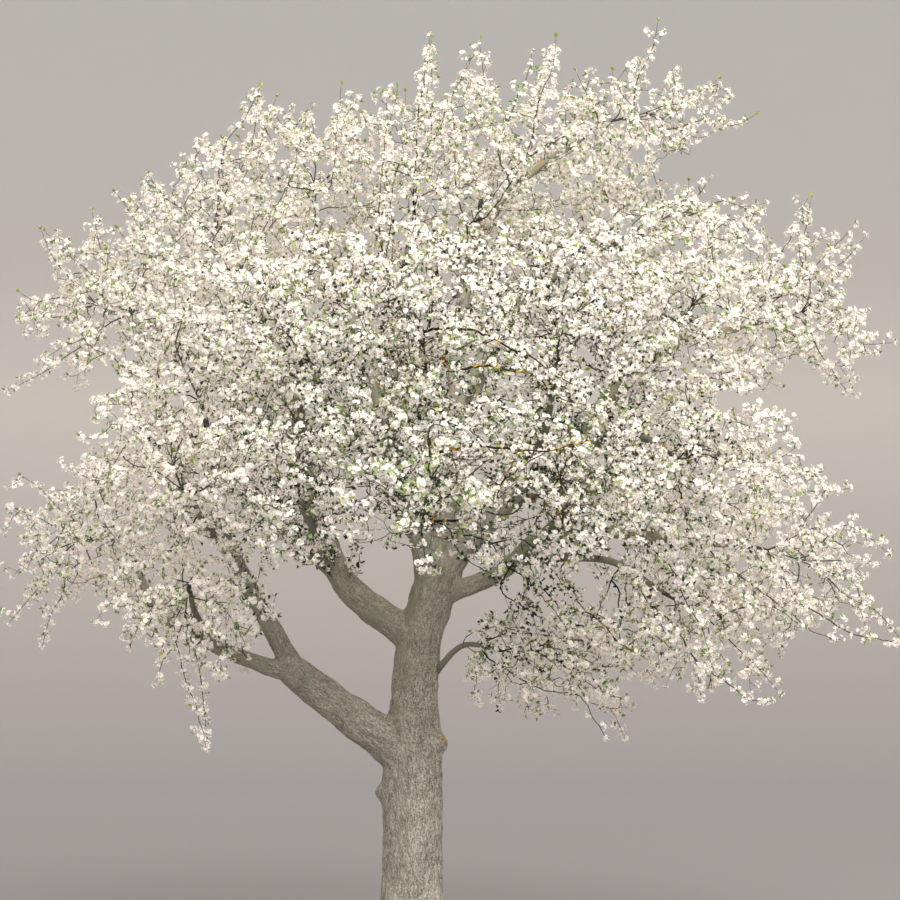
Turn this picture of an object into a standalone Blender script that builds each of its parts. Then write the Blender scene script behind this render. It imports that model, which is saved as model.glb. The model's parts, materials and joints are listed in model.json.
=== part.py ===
"""An old standard apple tree in full blossom, as solids at its real size.

The trunk stands on a flat cut at ground level, at the origin, and forks into tapering boughs.
Each bough ends where it enters a mass of blossom: one stem that branches into twigs, with sprays
of blossom fused to their tips. Metres, +Z up, with the front of the tree at -Y.
"""

import math
import random
from dataclasses import dataclass

import bmesh
import bpy
import numpy as np
from mathutils import Vector

# Clearance between neighbouring solids
GAP = 0.0003

# Trunk: height above ground of each level, the lean of its centre line there, and its radius
TRUNK_LEVELS = (
    # height, lean along X, lean along Y, radius
    (0.00, 0.00, 0.00, 0.298),
    (0.30, 0.00, 0.00, 0.272),
    (0.80, 0.00, 0.00, 0.262),
    (1.25, 0.00, 0.00, 0.266),
    (1.60, 0.00, 0.00, 0.264),
    (1.95, 0.00, 0.00, 0.242),
    (2.35, 0.02, 0.00, 0.208),
    (2.75, 0.05, 0.00, 0.190),
    (3.05, 0.13, 0.00, 0.198),
    (3.40, 0.25, 0.00, 0.205),
)
TRUNK_SIDES = 14
TRUNK_RINGS = 14
TRUNK_RINGS_LOW = 1.2

# Root flare: how far the foot swells, how fast that fades upwards, and its lobes, turned by an angle
FLARE_SWELL = 0.30
FLARE_FADE = 0.22
FLARE_LOBES = 5
FLARE_LOBE_DEPTH = 0.16
FLARE_LOBES_TURNED = 0.7

# Healed cuts and burrs on the trunk: height, bearing in degrees from +X, swell and spread
TRUNK_BURRS = (
    (1.89, -12.0, 0.085, 0.090),
    (1.45, 178.0, 0.070, 0.070),
    (1.05, -65.0, 0.022, 0.160),
    (2.45, 200.0, 0.015, 0.140),
)
BURR_NARROWNESS = 6

# Boughs and branches: corners round each, and the distance between their rings
BOUGH_SIDES = 6
BRANCH_SIDES = 6
BRANCH_BELOW_RADIUS = 0.058
CURVE_SAMPLES = 72
RING_SPACING = 0.48

# Collar of a limb: how far it swells, how fast that fades, its rings, and its clearance from other limbs
COLLAR_SWELL = 0.22
COLLAR_FADE = 0.16
COLLAR_RINGS = 4
COLLAR_CLEARANCE = 0.02

# Rounded end of a limb that forks: how far each ring stands past the fork, and its size
FORK_END = ((0.05, 0.82), (0.09, 0.45))

# Stem of a mass: how far it carries on in its bough's line, its corners and radii, and where twigs leave it
STEM_BEND_AT = 0.45
STEM_SIDES = 4
STEM_FOOT_SHARE = 0.85
STEM_TIP_RADIUS = 0.014
STEM_NODES_AT = (0.30, 0.55, 0.80, 1.0)

# Twigs: corners, radius, the sunk foot and the taper, where further twigs leave one, and its shortest run
TWIG_SIDES = 3
TWIG_RADIUS = 0.012
TWIG_FOOT_SUNK = 0.6
TWIG_TAPER = 0.6
TWIG_NODES_AT = (0.3, 0.55, 0.8)
TWIG_SHORTEST = 0.08

# Sprays of blossom: how many, their length and half width, where they are widest, how far they are sunk
SPRAYS_PER_MASS = 11
SPRAY_LENGTH = (0.72, 0.95)
SPRAY_WIDTH = 0.215
SPRAY_GIRTH_AT = 0.40
SPRAY_SUNK = 0.22

# Long shoots that reach the crown's furthest tips
SHOOT_LENGTH = 0.80
SHOOT_WIDTH = 0.060

# Choice of a spray's place: offers for each, the sizes tried, the shell of the space, its headings' spread
OFFERS = 16
SPRAY_SHRINKS = (1.0, 0.84, 0.68, 0.54)
SPRAY_SHELL = (0.25, 1.0)
SPRAY_REACH = 0.86
SPRAY_WANDER = 0.45
SPRAY_SPACING = 0.75

# Choice of a twig's foot: how near a spray seats itself, what a long path, a sharp turn and a crossing cost
SPRAY_SEAT = 0.30
SEATS_TRIED = 4
FEET_TRIED = 8
PATH_COST = 0.45
TURN_COST = 0.6
CROSSING_COST = 0.5

# Clearances of twigs and sprays from a neighbouring mass's space and from limbs
CELL_MARGIN = 0.02
LIMB_MARGIN = 0.01

# Colours of bark, of the finer branches and of blossom, and the largest angle that is shaded smooth
BARK_COLOUR = (0.30, 0.26, 0.20)
BRANCH_COLOUR = (0.13, 0.12, 0.11)
BLOSSOM_COLOUR = (0.88, 0.84, 0.78)
SMOOTH_ANGLE = math.radians(35)


@dataclass(frozen=True)
class Limb:
    """A bough: where it leaves its parent, the knees it passes, its tip, and its two radii.

    It leaves the trunk at a height above ground, and another limb at a share of that limb's length.
    """

    name: str
    parent: str
    leaves_at: float
    knees: tuple
    tip: tuple
    foot_radius: float
    tip_radius: float


@dataclass(frozen=True)
class Mass:
    """A mass of blossom: the bough that carries it, its space, its habit and its furthest tips."""

    name: str
    bough: str
    centre: tuple
    radii: tuple
    habit: tuple
    tips: tuple = ()


UPRIGHT = (0.0, 0.0, 0.95)
SPREADING = (0.0, 0.0, 0.25)
WEEPING = (0.0, 0.0, -0.75)

LIMBS = (
    Limb("bough_left_low", "trunk", 1.74, ((-0.70, -0.08, 2.24),), (-1.06, -0.16, 2.52), 0.195, 0.150),
    Limb("bough_left_rising", "bough_left_low", 0.96,
         ((-1.31, -0.30, 3.03), (-1.60, -0.45, 3.61)), (-1.79, -0.80, 4.60), 0.100, 0.040),
    Limb("bough_left_outer", "bough_left_low", 0.93,
         ((-1.56, -0.25, 2.66), (-2.19, -0.20, 2.97)), (-2.47, -0.10, 3.45), 0.085, 0.035),
    Limb("branch_left_hanging", "bough_left_outer", 0.45, ((-1.88, -0.60, 3.02),), (-1.89, -0.88, 3.18),
         0.040, 0.025),
    Limb("branch_left_inner", "bough_left_rising", 0.50, ((-1.77, -0.90, 3.79),), (-1.86, -1.10, 3.93),
         0.045, 0.028),
    Limb("bough_left_upper", "trunk", 2.79,
         ((-0.55, 0.05, 3.24), (-0.82, 0.00, 3.78), (-0.96, -0.10, 4.58)), (-1.46, -0.25, 5.90),
         0.152, 0.035),
    Limb("bough_left_arm", "bough_left_upper", 0.45, ((-1.57, 0.10, 5.01),), (-2.45, 0.00, 5.65),
         0.060, 0.028),
    Limb("branch_centre_left_low", "bough_left_upper", 0.30, ((-0.92, -0.80, 3.87),), (-0.92, -1.40, 3.95),
         0.050, 0.028),
    Limb("branch_centre_left", "bough_left_upper", 0.60, ((-1.00, -0.70, 4.95),), (-0.97, -1.20, 5.06),
         0.050, 0.028),
    Limb("bough_centre_leader", "trunk", 3.22,
         ((0.06, 0.00, 3.69), (-0.22, 0.00, 4.23), (-0.19, 0.00, 5.05)), (-0.04, 0.00, 6.30), 0.130, 0.040),
    Limb("bough_centre_left_leader", "bough_centre_leader", 0.45, ((-0.47, 0.20, 5.44),),
         (-0.80, 0.30, 6.35), 0.065, 0.032),
    Limb("branch_front", "bough_centre_leader", 0.40, ((-0.03, -0.80, 4.76),), (0.08, -1.50, 4.92),
         0.060, 0.030),
    Limb("branch_front_low", "bough_centre_leader", 0.26, ((0.00, -0.90, 3.90),), (0.12, -1.70, 3.97),
         0.055, 0.028),
    Limb("bough_right_leader", "trunk", 3.40, ((0.35, 0.10, 4.33), (0.40, 0.10, 5.43)), (0.60, 0.10, 6.60),
         0.120, 0.040),
    Limb("bough_top_right", "bough_right_leader", 0.75,
         ((0.79, 0.05, 6.78),), (1.52, 0.00, 7.38), 0.050, 0.028),
    Limb("branch_right_shoulder", "bough_right_leader", 0.50, ((1.16, 0.30, 6.02),), (1.83, 0.35, 6.45),
         0.055, 0.028),
    Limb("bough_right_upper", "trunk", 3.40,
         ((0.78, -0.05, 3.97), (1.50, -0.10, 4.67), (2.19, -0.10, 5.38)), (3.00, -0.10, 5.62),
         0.140, 0.032),
    Limb("branch_centre_right", "bough_right_upper", 0.30, ((1.15, -0.80, 4.58),), (1.20, -1.30, 4.96),
         0.055, 0.028),
    Limb("branch_right_mid", "bough_right_upper", 0.62, ((2.20, -0.50, 5.37),), (2.30, -0.70, 5.48),
         0.045, 0.026),
    Limb("branch_right_inner", "bough_right_upper", 0.42, ((1.99, -0.60, 4.52),), (2.20, -0.90, 4.38),
         0.050, 0.028),
    Limb("bough_right_low", "trunk", 3.15, ((0.77, -0.20, 3.38), (1.29, -0.50, 3.72)), (2.75, -0.40, 3.61),
         0.095, 0.030),
    Limb("branch_centre_right_low", "bough_right_low", 0.40, ((1.32, -1.00, 3.85),), (1.27, -1.40, 3.94),
         0.045, 0.028),
    Limb("branch_right_drooping", "bough_right_low", 0.30, ((1.67, -0.50, 3.48),), (2.17, -0.60, 3.19),
         0.045, 0.026),
    Limb("branch_low_right", "trunk", 2.24, ((0.40, -0.10, 2.72),), (0.72, -0.15, 2.72), 0.036, 0.024),
    Limb("bough_back_centre", "trunk", 3.40, ((0.31, 0.70, 3.88),), (0.14, 1.50, 4.67), 0.110, 0.040),
    Limb("branch_back_left_high", "bough_centre_leader", 0.30, ((-0.79, 0.70, 5.05),), (-1.48, 1.20, 5.89),
         0.070, 0.030),
    Limb("branch_back_right_high", "bough_right_leader", 0.40, ((0.80, 0.70, 5.67),), (1.20, 1.20, 6.36),
         0.070, 0.030),
    Limb("branch_back_left_low", "bough_left_upper", 0.20, ((-1.15, 0.70, 3.74),), (-1.58, 1.30, 4.05),
         0.060, 0.030),
    Limb("branch_back_right_low", "bough_right_upper", 0.22, ((1.35, 0.70, 4.19),), (1.86, 1.30, 4.26),
         0.065, 0.030),
)

MASSES = (
    Mass("blossom_top_left", "bough_left_upper", (-1.76, -0.30, 6.40), (0.92, 0.90, 0.90), UPRIGHT,
         ((-2.38, -0.25, 6.95), (-1.40, -0.25, 7.75))),
    Mass("blossom_top_centre_left", "bough_centre_left_leader", (-0.95, 0.35, 7.05),
         (0.78, 0.90, 0.85), UPRIGHT,
         ((-0.62, 0.30, 7.85),)),
    Mass("blossom_top_centre", "bough_centre_leader", (0.04, -0.20, 7.05), (0.75, 0.90, 0.95), UPRIGHT,
         ((0.15, -0.20, 8.25),)),
    Mass("blossom_top_right", "bough_right_leader", (1.02, 0.15, 7.20), (0.80, 0.90, 0.95), UPRIGHT,
         ((0.59, 0.10, 8.28), (1.28, 0.10, 8.30))),
    Mass("blossom_top_right_arm", "bough_top_right", (2.05, 0.00, 7.55), (0.95, 0.70, 0.55), SPREADING,
         ((2.23, 0.00, 8.43), (3.10, 0.00, 7.60), (2.75, 0.00, 7.92))),
    Mass("blossom_right_shoulder", "branch_right_shoulder", (2.40, 0.30, 6.75),
         (0.85, 0.85, 0.55), SPREADING,
         ((2.72, 0.30, 7.05),)),
    Mass("blossom_left_arm", "bough_left_arm", (-2.88, 0.00, 5.80), (0.75, 0.85, 0.70), SPREADING,
         ((-3.38, 0.00, 6.50), (-3.64, 0.00, 5.05), (-2.92, 0.10, 6.66))),
    Mass("blossom_left_mid", "bough_left_rising", (-2.02, -1.10, 5.28), (0.90, 0.85, 0.78), UPRIGHT),
    Mass("blossom_centre_left", "branch_centre_left", (-0.92, -1.90, 5.31), (0.85, 0.85, 0.85), UPRIGHT),
    Mass("blossom_front", "branch_front", (0.13, -2.30, 5.20), (0.85, 0.85, 0.90), UPRIGHT),
    Mass("blossom_centre_right", "branch_centre_right", (1.22, -1.90, 5.34), (0.90, 0.85, 0.85), UPRIGHT),
    Mass("blossom_right_mid", "branch_right_mid", (2.40, -1.00, 5.64), (0.85, 0.90, 0.75), SPREADING),
    Mass("blossom_right_arm", "bough_right_upper", (3.50, 0.00, 5.78), (0.85, 0.90, 0.72), SPREADING,
         ((4.33, 0.00, 5.45), (4.08, 0.00, 6.45), (3.60, 0.00, 6.80), (3.95, 0.00, 5.02))),
    Mass("blossom_left_low_arm", "bough_left_outer", (-2.98, 0.00, 3.68), (0.72, 0.85, 0.75), WEEPING,
         ((-3.60, 0.00, 2.95), (-3.50, 0.00, 4.25), (-3.30, 0.00, 2.75))),
    Mass("blossom_left_low", "branch_left_inner", (-1.96, -1.50, 4.20), (0.90, 0.85, 0.75), SPREADING),
    Mass("blossom_centre_left_low", "branch_centre_left_low", (-0.87, -2.20, 4.12),
         (0.85, 0.80, 0.70), SPREADING),
    Mass("blossom_front_low", "branch_front_low", (0.17, -2.60, 3.98), (0.85, 0.80, 0.72), SPREADING),
    Mass("blossom_centre_right_low", "branch_centre_right_low", (1.21, -2.20, 4.02),
         (0.85, 0.80, 0.75), SPREADING),
    Mass("blossom_right_inner", "branch_right_inner", (2.42, -1.40, 4.30), (0.90, 0.85, 0.80), SPREADING,
         ((3.75, -0.90, 4.05),)),
    Mass("blossom_right_low_arm", "bough_right_low", (3.40, -0.20, 3.50), (0.88, 0.90, 0.80), WEEPING,
         ((4.35, 0.00, 2.80), (4.13, 0.00, 3.48))),
    Mass("blossom_left_hanging", "branch_left_hanging", (-1.90, -1.10, 3.00), (0.70, 0.70, 0.62), WEEPING,
         ((-1.72, -0.95, 1.92),)),
    Mass("blossom_right_hanging", "branch_low_right", (1.30, -0.20, 2.60), (0.85, 0.75, 0.52), WEEPING,
         ((1.86, -0.20, 1.95),)),
    Mass("blossom_right_drooping", "branch_right_drooping", (2.50, -0.80, 2.98),
         (0.88, 0.85, 0.66), WEEPING,
         ((3.15, -0.60, 2.35),)),
    Mass("blossom_back_left_high", "branch_back_left_high", (-2.05, 1.90, 6.40),
         (1.10, 1.00, 1.00), UPRIGHT),
    Mass("blossom_back_centre", "bough_back_centre", (-0.18, 2.50, 5.40), (1.15, 0.95, 1.15), SPREADING),
    Mass("blossom_back_right_high", "branch_back_right_high", (1.62, 1.80, 6.70),
         (1.15, 1.00, 1.00), UPRIGHT),
    Mass("blossom_back_left_low", "branch_back_left_low", (-2.20, 2.00, 4.43),
         (1.10, 1.00, 0.95), SPREADING),
    Mass("blossom_back_right_low", "branch_back_right_low", (2.42, 2.10, 4.44),
         (1.20, 1.00, 0.95), SPREADING),
)


def smooth_curve(points, samples, heading=None):
    """Points evenly spread along a smooth curve through the given ones, which may start along a heading."""
    knots = [np.array(p, float) for p in points]
    before = 2 * knots[0] - knots[1]
    if heading is not None:
        before = knots[1] - 2 * np.linalg.norm(knots[1] - knots[0]) * heading
    after = 2 * knots[-1] - knots[-2]
    knots = [before, *knots, after]
    dense = []
    for a, b, c, d in zip(knots, knots[1:], knots[2:], knots[3:]):
        for t in np.linspace(0, 1, samples, endpoint=False):
            bend = (2 * a - 5 * b + 4 * c - d) * t**2 + (3 * b - a - 3 * c + d) * t**3
            dense.append(0.5 * (2 * b + (c - a) * t + bend))
    dense.append(knots[-2])
    dense = np.array(dense)
    along = np.concatenate([[0], np.cumsum(np.linalg.norm(np.diff(dense, axis=0), axis=1))])
    even = np.linspace(0, along[-1], samples + 1)
    return np.stack([np.interp(even, along, dense[:, k]) for k in range(3)], axis=1)


def unit(vector):
    """The vector at length one."""
    return vector / max(np.linalg.norm(vector), 1e-9)


class Path:
    """A limb's centre line, with its frame and radius at any distance along it."""

    def __init__(self, points, foot_radius, tip_radius, sides, swell=0.0, heading=None):
        self.points = smooth_curve(points, CURVE_SAMPLES, heading)
        steps = np.linalg.norm(np.diff(self.points, axis=0), axis=1)
        self.along = np.concatenate([[0], np.cumsum(steps)])
        self.length = self.along[-1]
        self.tangents = np.array([unit(v) for v in np.gradient(self.points, self.along, axis=0)])
        if heading is not None:
            self.tangents[0] = heading
        self.foot_radius = foot_radius
        self.tip_radius = tip_radius
        self.sides = sides
        self.swell = swell
        side = unit(np.cross(self.tangents[0], (0.3, 1.0, 0.1)))
        self.normals = []
        for tangent in self.tangents:
            side = unit(side - tangent * (side @ tangent))
            self.normals.append(side)
        self.normals = np.array(self.normals)

    def at(self, distance):
        """The point, the tangent and the normal at a distance along the curve, past its end too."""
        inside = min(max(distance, 0.0), self.length)
        tangent = unit(self.read(self.tangents, inside))
        point = self.read(self.points, inside) + tangent * (distance - inside)
        normal = self.read(self.normals, inside)
        return point, tangent, unit(normal - tangent * (normal @ tangent))

    def read(self, rows, distance):
        """The value of one of the curve's tables of vectors at a distance along it."""
        return np.array([np.interp(distance, self.along, rows[:, k]) for k in range(3)])

    def radius(self, distance):
        """The limb's radius there, with the swell of its collar near the foot."""
        share = min(max(distance / self.length, 0.0), 1.0)
        plain = self.foot_radius + (self.tip_radius - self.foot_radius) * share
        return plain * (1 + self.swell * math.exp(-max(distance, 0.0) / COLLAR_FADE))

    def ring(self, distance, scale=1.0):
        """The corners of the limb's outline at a distance along it."""
        point, tangent, normal = self.at(distance)
        across = np.cross(tangent, normal)
        radius = self.radius(distance) * scale
        turns = [2 * math.pi * k / self.sides for k in range(self.sides)]
        return [point + radius * (math.cos(a) * normal + math.sin(a) * across) for a in turns]


def loft(rings):
    """A closed mesh through rings of corners that run the same way round, with both ends filled."""
    shape = bmesh.new()
    rows = [[shape.verts.new(Vector(corner)) for corner in ring] for ring in rings]
    count = len(rows[0])
    for low, high in zip(rows, rows[1:]):
        for k in range(count):
            shape.faces.new((low[k], low[(k + 1) % count], high[(k + 1) % count], high[k]))
    shape.faces.new(rows[0][::-1])
    shape.faces.new(rows[-1])
    bmesh.ops.recalc_face_normals(shape, faces=shape.faces)
    bmesh.ops.triangulate(shape, faces=shape.faces)
    return shape


def new_object(name, shape):
    """An object in the scene that holds the shape."""
    mesh = bpy.data.meshes.new(name)
    shape.to_mesh(mesh)
    shape.free()
    made = bpy.data.objects.new(name, mesh)
    bpy.context.scene.collection.objects.link(made)
    return made


def is_closed(mesh):
    """True if each edge of the mesh has two faces."""
    shape = bmesh.new()
    shape.from_mesh(mesh)
    closed = len(shape.faces) > 0 and all(len(edge.link_faces) == 2 for edge in shape.edges)
    shape.free()
    return closed


def keep_largest_body(made):
    """Drops loose scraps, and the inner skins of hollows that fusing sealed."""
    shape = bmesh.new()
    shape.from_mesh(made.data)
    left = set(shape.verts)
    bodies = []
    while left:
        body = {left.pop()}
        growing = list(body)
        while growing:
            vertex = growing.pop()
            for edge in vertex.link_edges:
                other = edge.other_vert(vertex)
                if other in left:
                    left.remove(other)
                    body.add(other)
                    growing.append(other)
        bodies.append(body)
    bodies.sort(key=len)
    for body in bodies[:-1]:
        bmesh.ops.delete(shape, geom=list(body), context="VERTS")
    shape.to_mesh(made.data)
    shape.free()


def fuse(made, pieces):
    """Joins the pieces to the object by one Boolean union on their collection, which is then removed."""
    group = bpy.data.collections.new(made.name + "_pieces")
    bpy.context.scene.collection.children.link(group)
    for piece in pieces:
        bpy.context.scene.collection.objects.unlink(piece)
        group.objects.link(piece)
    for solver in ("EXACT", "MANIFOLD"):
        union = made.modifiers.new("fuse", "BOOLEAN")
        union.operation = "UNION"
        union.operand_type = "COLLECTION"
        union.collection = group
        union.solver = solver
        graph = bpy.context.evaluated_depsgraph_get()
        joined = bpy.data.meshes.new_from_object(made.evaluated_get(graph))
        made.modifiers.remove(union)
        if is_closed(joined):
            break
    made.data = joined
    for piece in pieces:
        bpy.data.objects.remove(piece)
    bpy.data.collections.remove(group)
    keep_largest_body(made)


def trunk_ring(path, height_along):
    """The trunk's outline, with the lobes of its root flare and its burrs."""
    point, tangent, _ = path.at(height_along)
    height = point[2]
    levels = np.array(TRUNK_LEVELS)
    radius = np.interp(height, levels[:, 0], levels[:, 3])
    fade = math.exp(-height / FLARE_FADE)
    corners = []
    for k in range(TRUNK_SIDES):
        bearing = 2 * math.pi * k / TRUNK_SIDES
        outward = np.array([math.cos(bearing), math.sin(bearing), 0.0])
        lobes = 1 + FLARE_LOBE_DEPTH * math.cos(FLARE_LOBES * bearing + FLARE_LOBES_TURNED)
        swollen = radius * (1 + FLARE_SWELL * fade * lobes)
        for burr_height, burr_bearing, swell, spread in TRUNK_BURRS:
            facing = max(0.0, math.cos(bearing - math.radians(burr_bearing)))
            swollen += swell * facing**BURR_NARROWNESS * math.exp(-(((height - burr_height) / spread) ** 2))
        level = unit(outward - tangent * (outward @ tangent)) if height > 0 else outward
        corners.append(point + swollen * level)
    return corners


def ends_in_fork(name):
    """True for the trunk and for a limb that forks at its tip and carries no mass of its own."""
    return all(mass.bough != name for mass in MASSES)


def limb_line(path):
    """Points down the middle of a limb or a stem, and the radius at each."""
    return path.points, np.array([path.radius(s) for s in path.along])


def limb_line_past_fork(name, path):
    """Points down the middle of the trunk or of a limb, past a rounded fork end, and the radius at each."""
    points, radii = limb_line(path)
    if name == "trunk":
        levels = np.array(TRUNK_LEVELS)
        radii = np.interp(points[:, 2], levels[:, 0], levels[:, 3])
    if ends_in_fork(name):
        end, tangent, _ = path.at(path.length)
        points = np.array([*points, *(end + tangent * beyond for beyond, _ in FORK_END)])
        radii = np.array([*radii, *(radii[-1] * scale for _, scale in FORK_END)])
    return points, radii


def collar_length(name, paths, neighbours):
    """How far a limb's collar reaches before the limb is clear of its parent and its neighbours."""
    path = paths[name]
    lines = [limb_line_past_fork(other, paths[other]) for other in neighbours]
    for distance in path.along:
        point = path.at(distance)[0]
        reach = path.radius(distance) + COLLAR_CLEARANCE
        if all((np.linalg.norm(points - point, axis=1) - radii).min() > reach for points, radii in lines):
            return distance
    raise ValueError(name + " never gets clear of its parent")


def ring_distances(start, end):
    """Even stations from start to end, no further apart than the ring spacing."""
    count = max(2, math.ceil((end - start) / RING_SPACING))
    return np.linspace(start, end, count + 1)


def build_skeleton():
    """The centre line of the trunk and of each limb, and each limb's collar length, by name."""
    trunk = Path([(x, y, z) for z, x, y, _ in TRUNK_LEVELS], 1.0, 1.0, TRUNK_SIDES)
    paths = {"trunk": trunk}
    for limb in LIMBS:
        parent = paths[limb.parent]
        if limb.parent == "trunk":
            distance = np.interp(limb.leaves_at, trunk.points[:, 2], trunk.along)
        else:
            distance = limb.leaves_at * parent.length
        foot = parent.at(distance)[0]
        sides = BRANCH_SIDES if limb.foot_radius < BRANCH_BELOW_RADIUS else BOUGH_SIDES
        points = [foot, *limb.knees, limb.tip]
        paths[limb.name] = Path(points, limb.foot_radius, limb.tip_radius, sides, COLLAR_SWELL)
    collars = {}
    for limb in LIMBS:
        siblings = [other.name for other in LIMBS if other.parent == limb.parent and other != limb]
        collars[limb.name] = collar_length(limb.name, paths, [limb.parent, *siblings])
    return paths, collars


def build_limb_solid(name, paths, collars):
    """A trunk or limb with the collars of the limbs that leave it."""
    path = paths[name]
    children = [limb.name for limb in LIMBS if limb.parent == name]
    if name == "trunk":
        shares = np.linspace(0, 1, TRUNK_RINGS) ** TRUNK_RINGS_LOW
        rings = [trunk_ring(path, s) for s in path.length * shares]
    else:
        rings = [path.ring(s) for s in ring_distances(collars[name] + GAP, path.length)]
    if ends_in_fork(name):
        end, tangent, _ = path.at(path.length)
        last = rings[-1]
        for beyond, scale in FORK_END:
            rings.append([end + tangent * beyond + (corner - end) * scale for corner in last])
    made = new_object(name, loft(rings))
    collars_made = []
    for child in children:
        child_path = paths[child]
        stations = np.linspace(0, collars[child], COLLAR_RINGS)
        collars_made.append(new_object(child + "_collar", loft([child_path.ring(s) for s in stations])))
    if collars_made:
        fuse(made, collars_made)
    return made


class Obstacles:
    """The limbs and stems that twigs and sprays keep clear of, as short thick lines."""

    def __init__(self):
        self.owners, self.starts, self.ends, self.radii = [], [], [], []

    def add(self, owner, points, radii):
        """Adds a line of points with a radius at each."""
        for a, b, r in zip(points, points[1:], radii):
            self.owners.append(owner)
            self.starts.append(a)
            self.ends.append(b)
            self.radii.append(r)

    def freeze(self):
        """Turns the lists into arrays."""
        self.owners = np.array(self.owners)
        self.starts = np.array(self.starts)
        self.ends = np.array(self.ends)
        self.radii = np.array(self.radii)

    def clear(self, owner, start, end, radius):
        """True if a thick line keeps clear of all that isn't its owner's."""
        others = self.owners != owner
        starts, runs, radii = self.starts[others], (self.ends - self.starts)[others], self.radii[others]
        lengths = np.maximum((runs**2).sum(axis=1), 1e-12)
        for share in np.linspace(0, 1, 7):
            point = start + (end - start) * share
            along = np.clip(((point - starts) * runs).sum(axis=1) / lengths, 0, 1)
            away = np.linalg.norm(starts + runs * along[:, None] - point, axis=1)
            if (away < radii + radius + LIMB_MARGIN).any():
                return False
        return True


class Space:
    """The room of one mass: the half spaces that part it from its neighbours, and its ellipsoid."""

    def __init__(self, mass):
        self.centre = np.array(mass.centre)
        self.radii = np.array(mass.radii)
        self.normals, self.limits = [], []
        size = (self.radii**2).mean()
        for other in MASSES:
            if other.name != mass.name:
                centre = np.array(other.centre)
                away = centre - self.centre
                distance = np.linalg.norm(away)
                other_size = (np.array(other.radii) ** 2).mean()
                self.normals.append(away / distance)
                self.limits.append((distance**2 + size - other_size) / (2 * distance))
        self.normals = np.array(self.normals)
        self.limits = np.array(self.limits)

    def in_cell(self, point, radius):
        """True if a ball there stays on this mass's side of its neighbours."""
        return bool((self.normals @ (point - self.centre) < self.limits - radius - CELL_MARGIN).all())

    def holds(self, point, radius):
        """True if a ball there stays in the cell and its middle in the ellipsoid."""
        inside = (((point - self.centre) / self.radii) ** 2).sum() <= 1.0
        return bool(inside) and self.in_cell(point, radius)


def random_direction(chance):
    """A direction picked evenly over the sphere."""
    while True:
        vector = np.array([chance.uniform(-1, 1) for _ in range(3)])
        if 0.01 < vector @ vector < 1:
            return unit(vector)


def lines_apart(start, end, other_start, other_end):
    """About how far apart two short lines are."""
    shares = np.linspace(0, 1, 6)[:, None]
    mine = start + (end - start) * shares
    theirs = other_start + (other_end - other_start) * shares
    return np.linalg.norm(mine[:, None] - theirs[None, :], axis=2).min()


def stem_of(mass, paths):
    """A mass's stem: from just clear of its bough's tip to the middle of its space."""
    bough = paths[mass.bough]
    end, tangent, _ = bough.at(bough.length)
    foot = end + tangent * GAP
    centre = np.array(mass.centre)
    reach = np.linalg.norm(centre - foot)
    bend = foot + tangent * reach * STEM_BEND_AT
    foot_radius = bough.tip_radius * STEM_FOOT_SHARE
    return Path([foot, bend, centre], foot_radius, STEM_TIP_RADIUS, STEM_SIDES, heading=tangent)


def nearest_middle(spray, others):
    """How far a spray's middle is from the nearest of the others' middles."""
    middle = 0.5 * (spray[0] + spray[1])
    return min([np.linalg.norm(middle - 0.5 * (root + tip)) for root, tip, _ in others], default=1.0)


def keeps_apart(spray, others):
    """True if a spray stands clear of the others, measured from middle line to middle line."""
    root, tip, width = spray
    return all(
        lines_apart(root, tip, low, high) > SPRAY_SPACING * (width + other_width)
        for low, high, other_width in others
    )


def offer_spray(mass, space, obstacles, others, chance):
    """A spray at a random place in the space, shrunk until it fits, or None."""
    shell = math.sqrt(chance.uniform(*SPRAY_SHELL)) * SPRAY_REACH
    middle = space.centre + space.radii * random_direction(chance) * shell
    outward = unit((middle - space.centre) / space.radii)
    heading = unit(outward + np.array(mass.habit) + SPRAY_WANDER * random_direction(chance))
    full_length = chance.uniform(*SPRAY_LENGTH)
    full_width = SPRAY_WIDTH * chance.uniform(0.85, 1.15)
    for shrink in SPRAY_SHRINKS:
        width = full_width * shrink
        root = middle - 0.5 * full_length * shrink * heading
        tip = middle + 0.5 * full_length * shrink * heading
        girth = root + SPRAY_GIRTH_AT * (tip - root)
        fits = space.holds(tip, 0.0) and space.in_cell(girth, width) and space.in_cell(root, 0.0)
        spray = (root, tip, width)
        if fits and keeps_apart(spray, others) and obstacles.clear(mass.name, *spray):
            return spray
    return None


def choose_sprays(mass, stem, space, obstacles, chance):
    """The sprays that a mass is to carry: its long shoots, then those that fill its space most evenly."""
    foot = stem.points[0]
    wanted = []
    for tip in mass.tips:
        tip = np.array(tip)
        outward = unit(tip - space.centre) + 0.5 * unit(tip - foot)
        heading = unit(outward + 0.3 * np.array(mass.habit))
        wanted.append((tip - SHOOT_LENGTH * heading, tip, SHOOT_WIDTH))
    for _ in range(SPRAYS_PER_MASS - len(wanted)):
        offers = [offer_spray(mass, space, obstacles, wanted, chance) for _ in range(OFFERS)]
        offers = [offer for offer in offers if offer is not None]
        if offers:
            wanted.append(max(offers, key=lambda offer: nearest_middle(offer, wanted)))
    return sorted(wanted, key=lambda spray: np.linalg.norm(spray[0] - foot))


def find_seat(spray, nodes, others):
    """A place on a twig near a spray's root from which it reaches its tip past the other sprays."""
    root, tip, width = spray
    near = sorted((np.linalg.norm(point - root), k) for k, (point, _, _) in enumerate(nodes))
    for distance, k in near[:SEATS_TRIED]:
        point, heading, _ = nodes[k]
        leans_on = unit(tip - point) @ heading > 0.1
        outer = point + 0.35 * (tip - point)
        apart = all(lines_apart(outer, tip, low, high) > width + 0.6 * size for low, high, size in others)
        if distance < SPRAY_SEAT and leans_on and apart:
            return point
    return None


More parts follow.
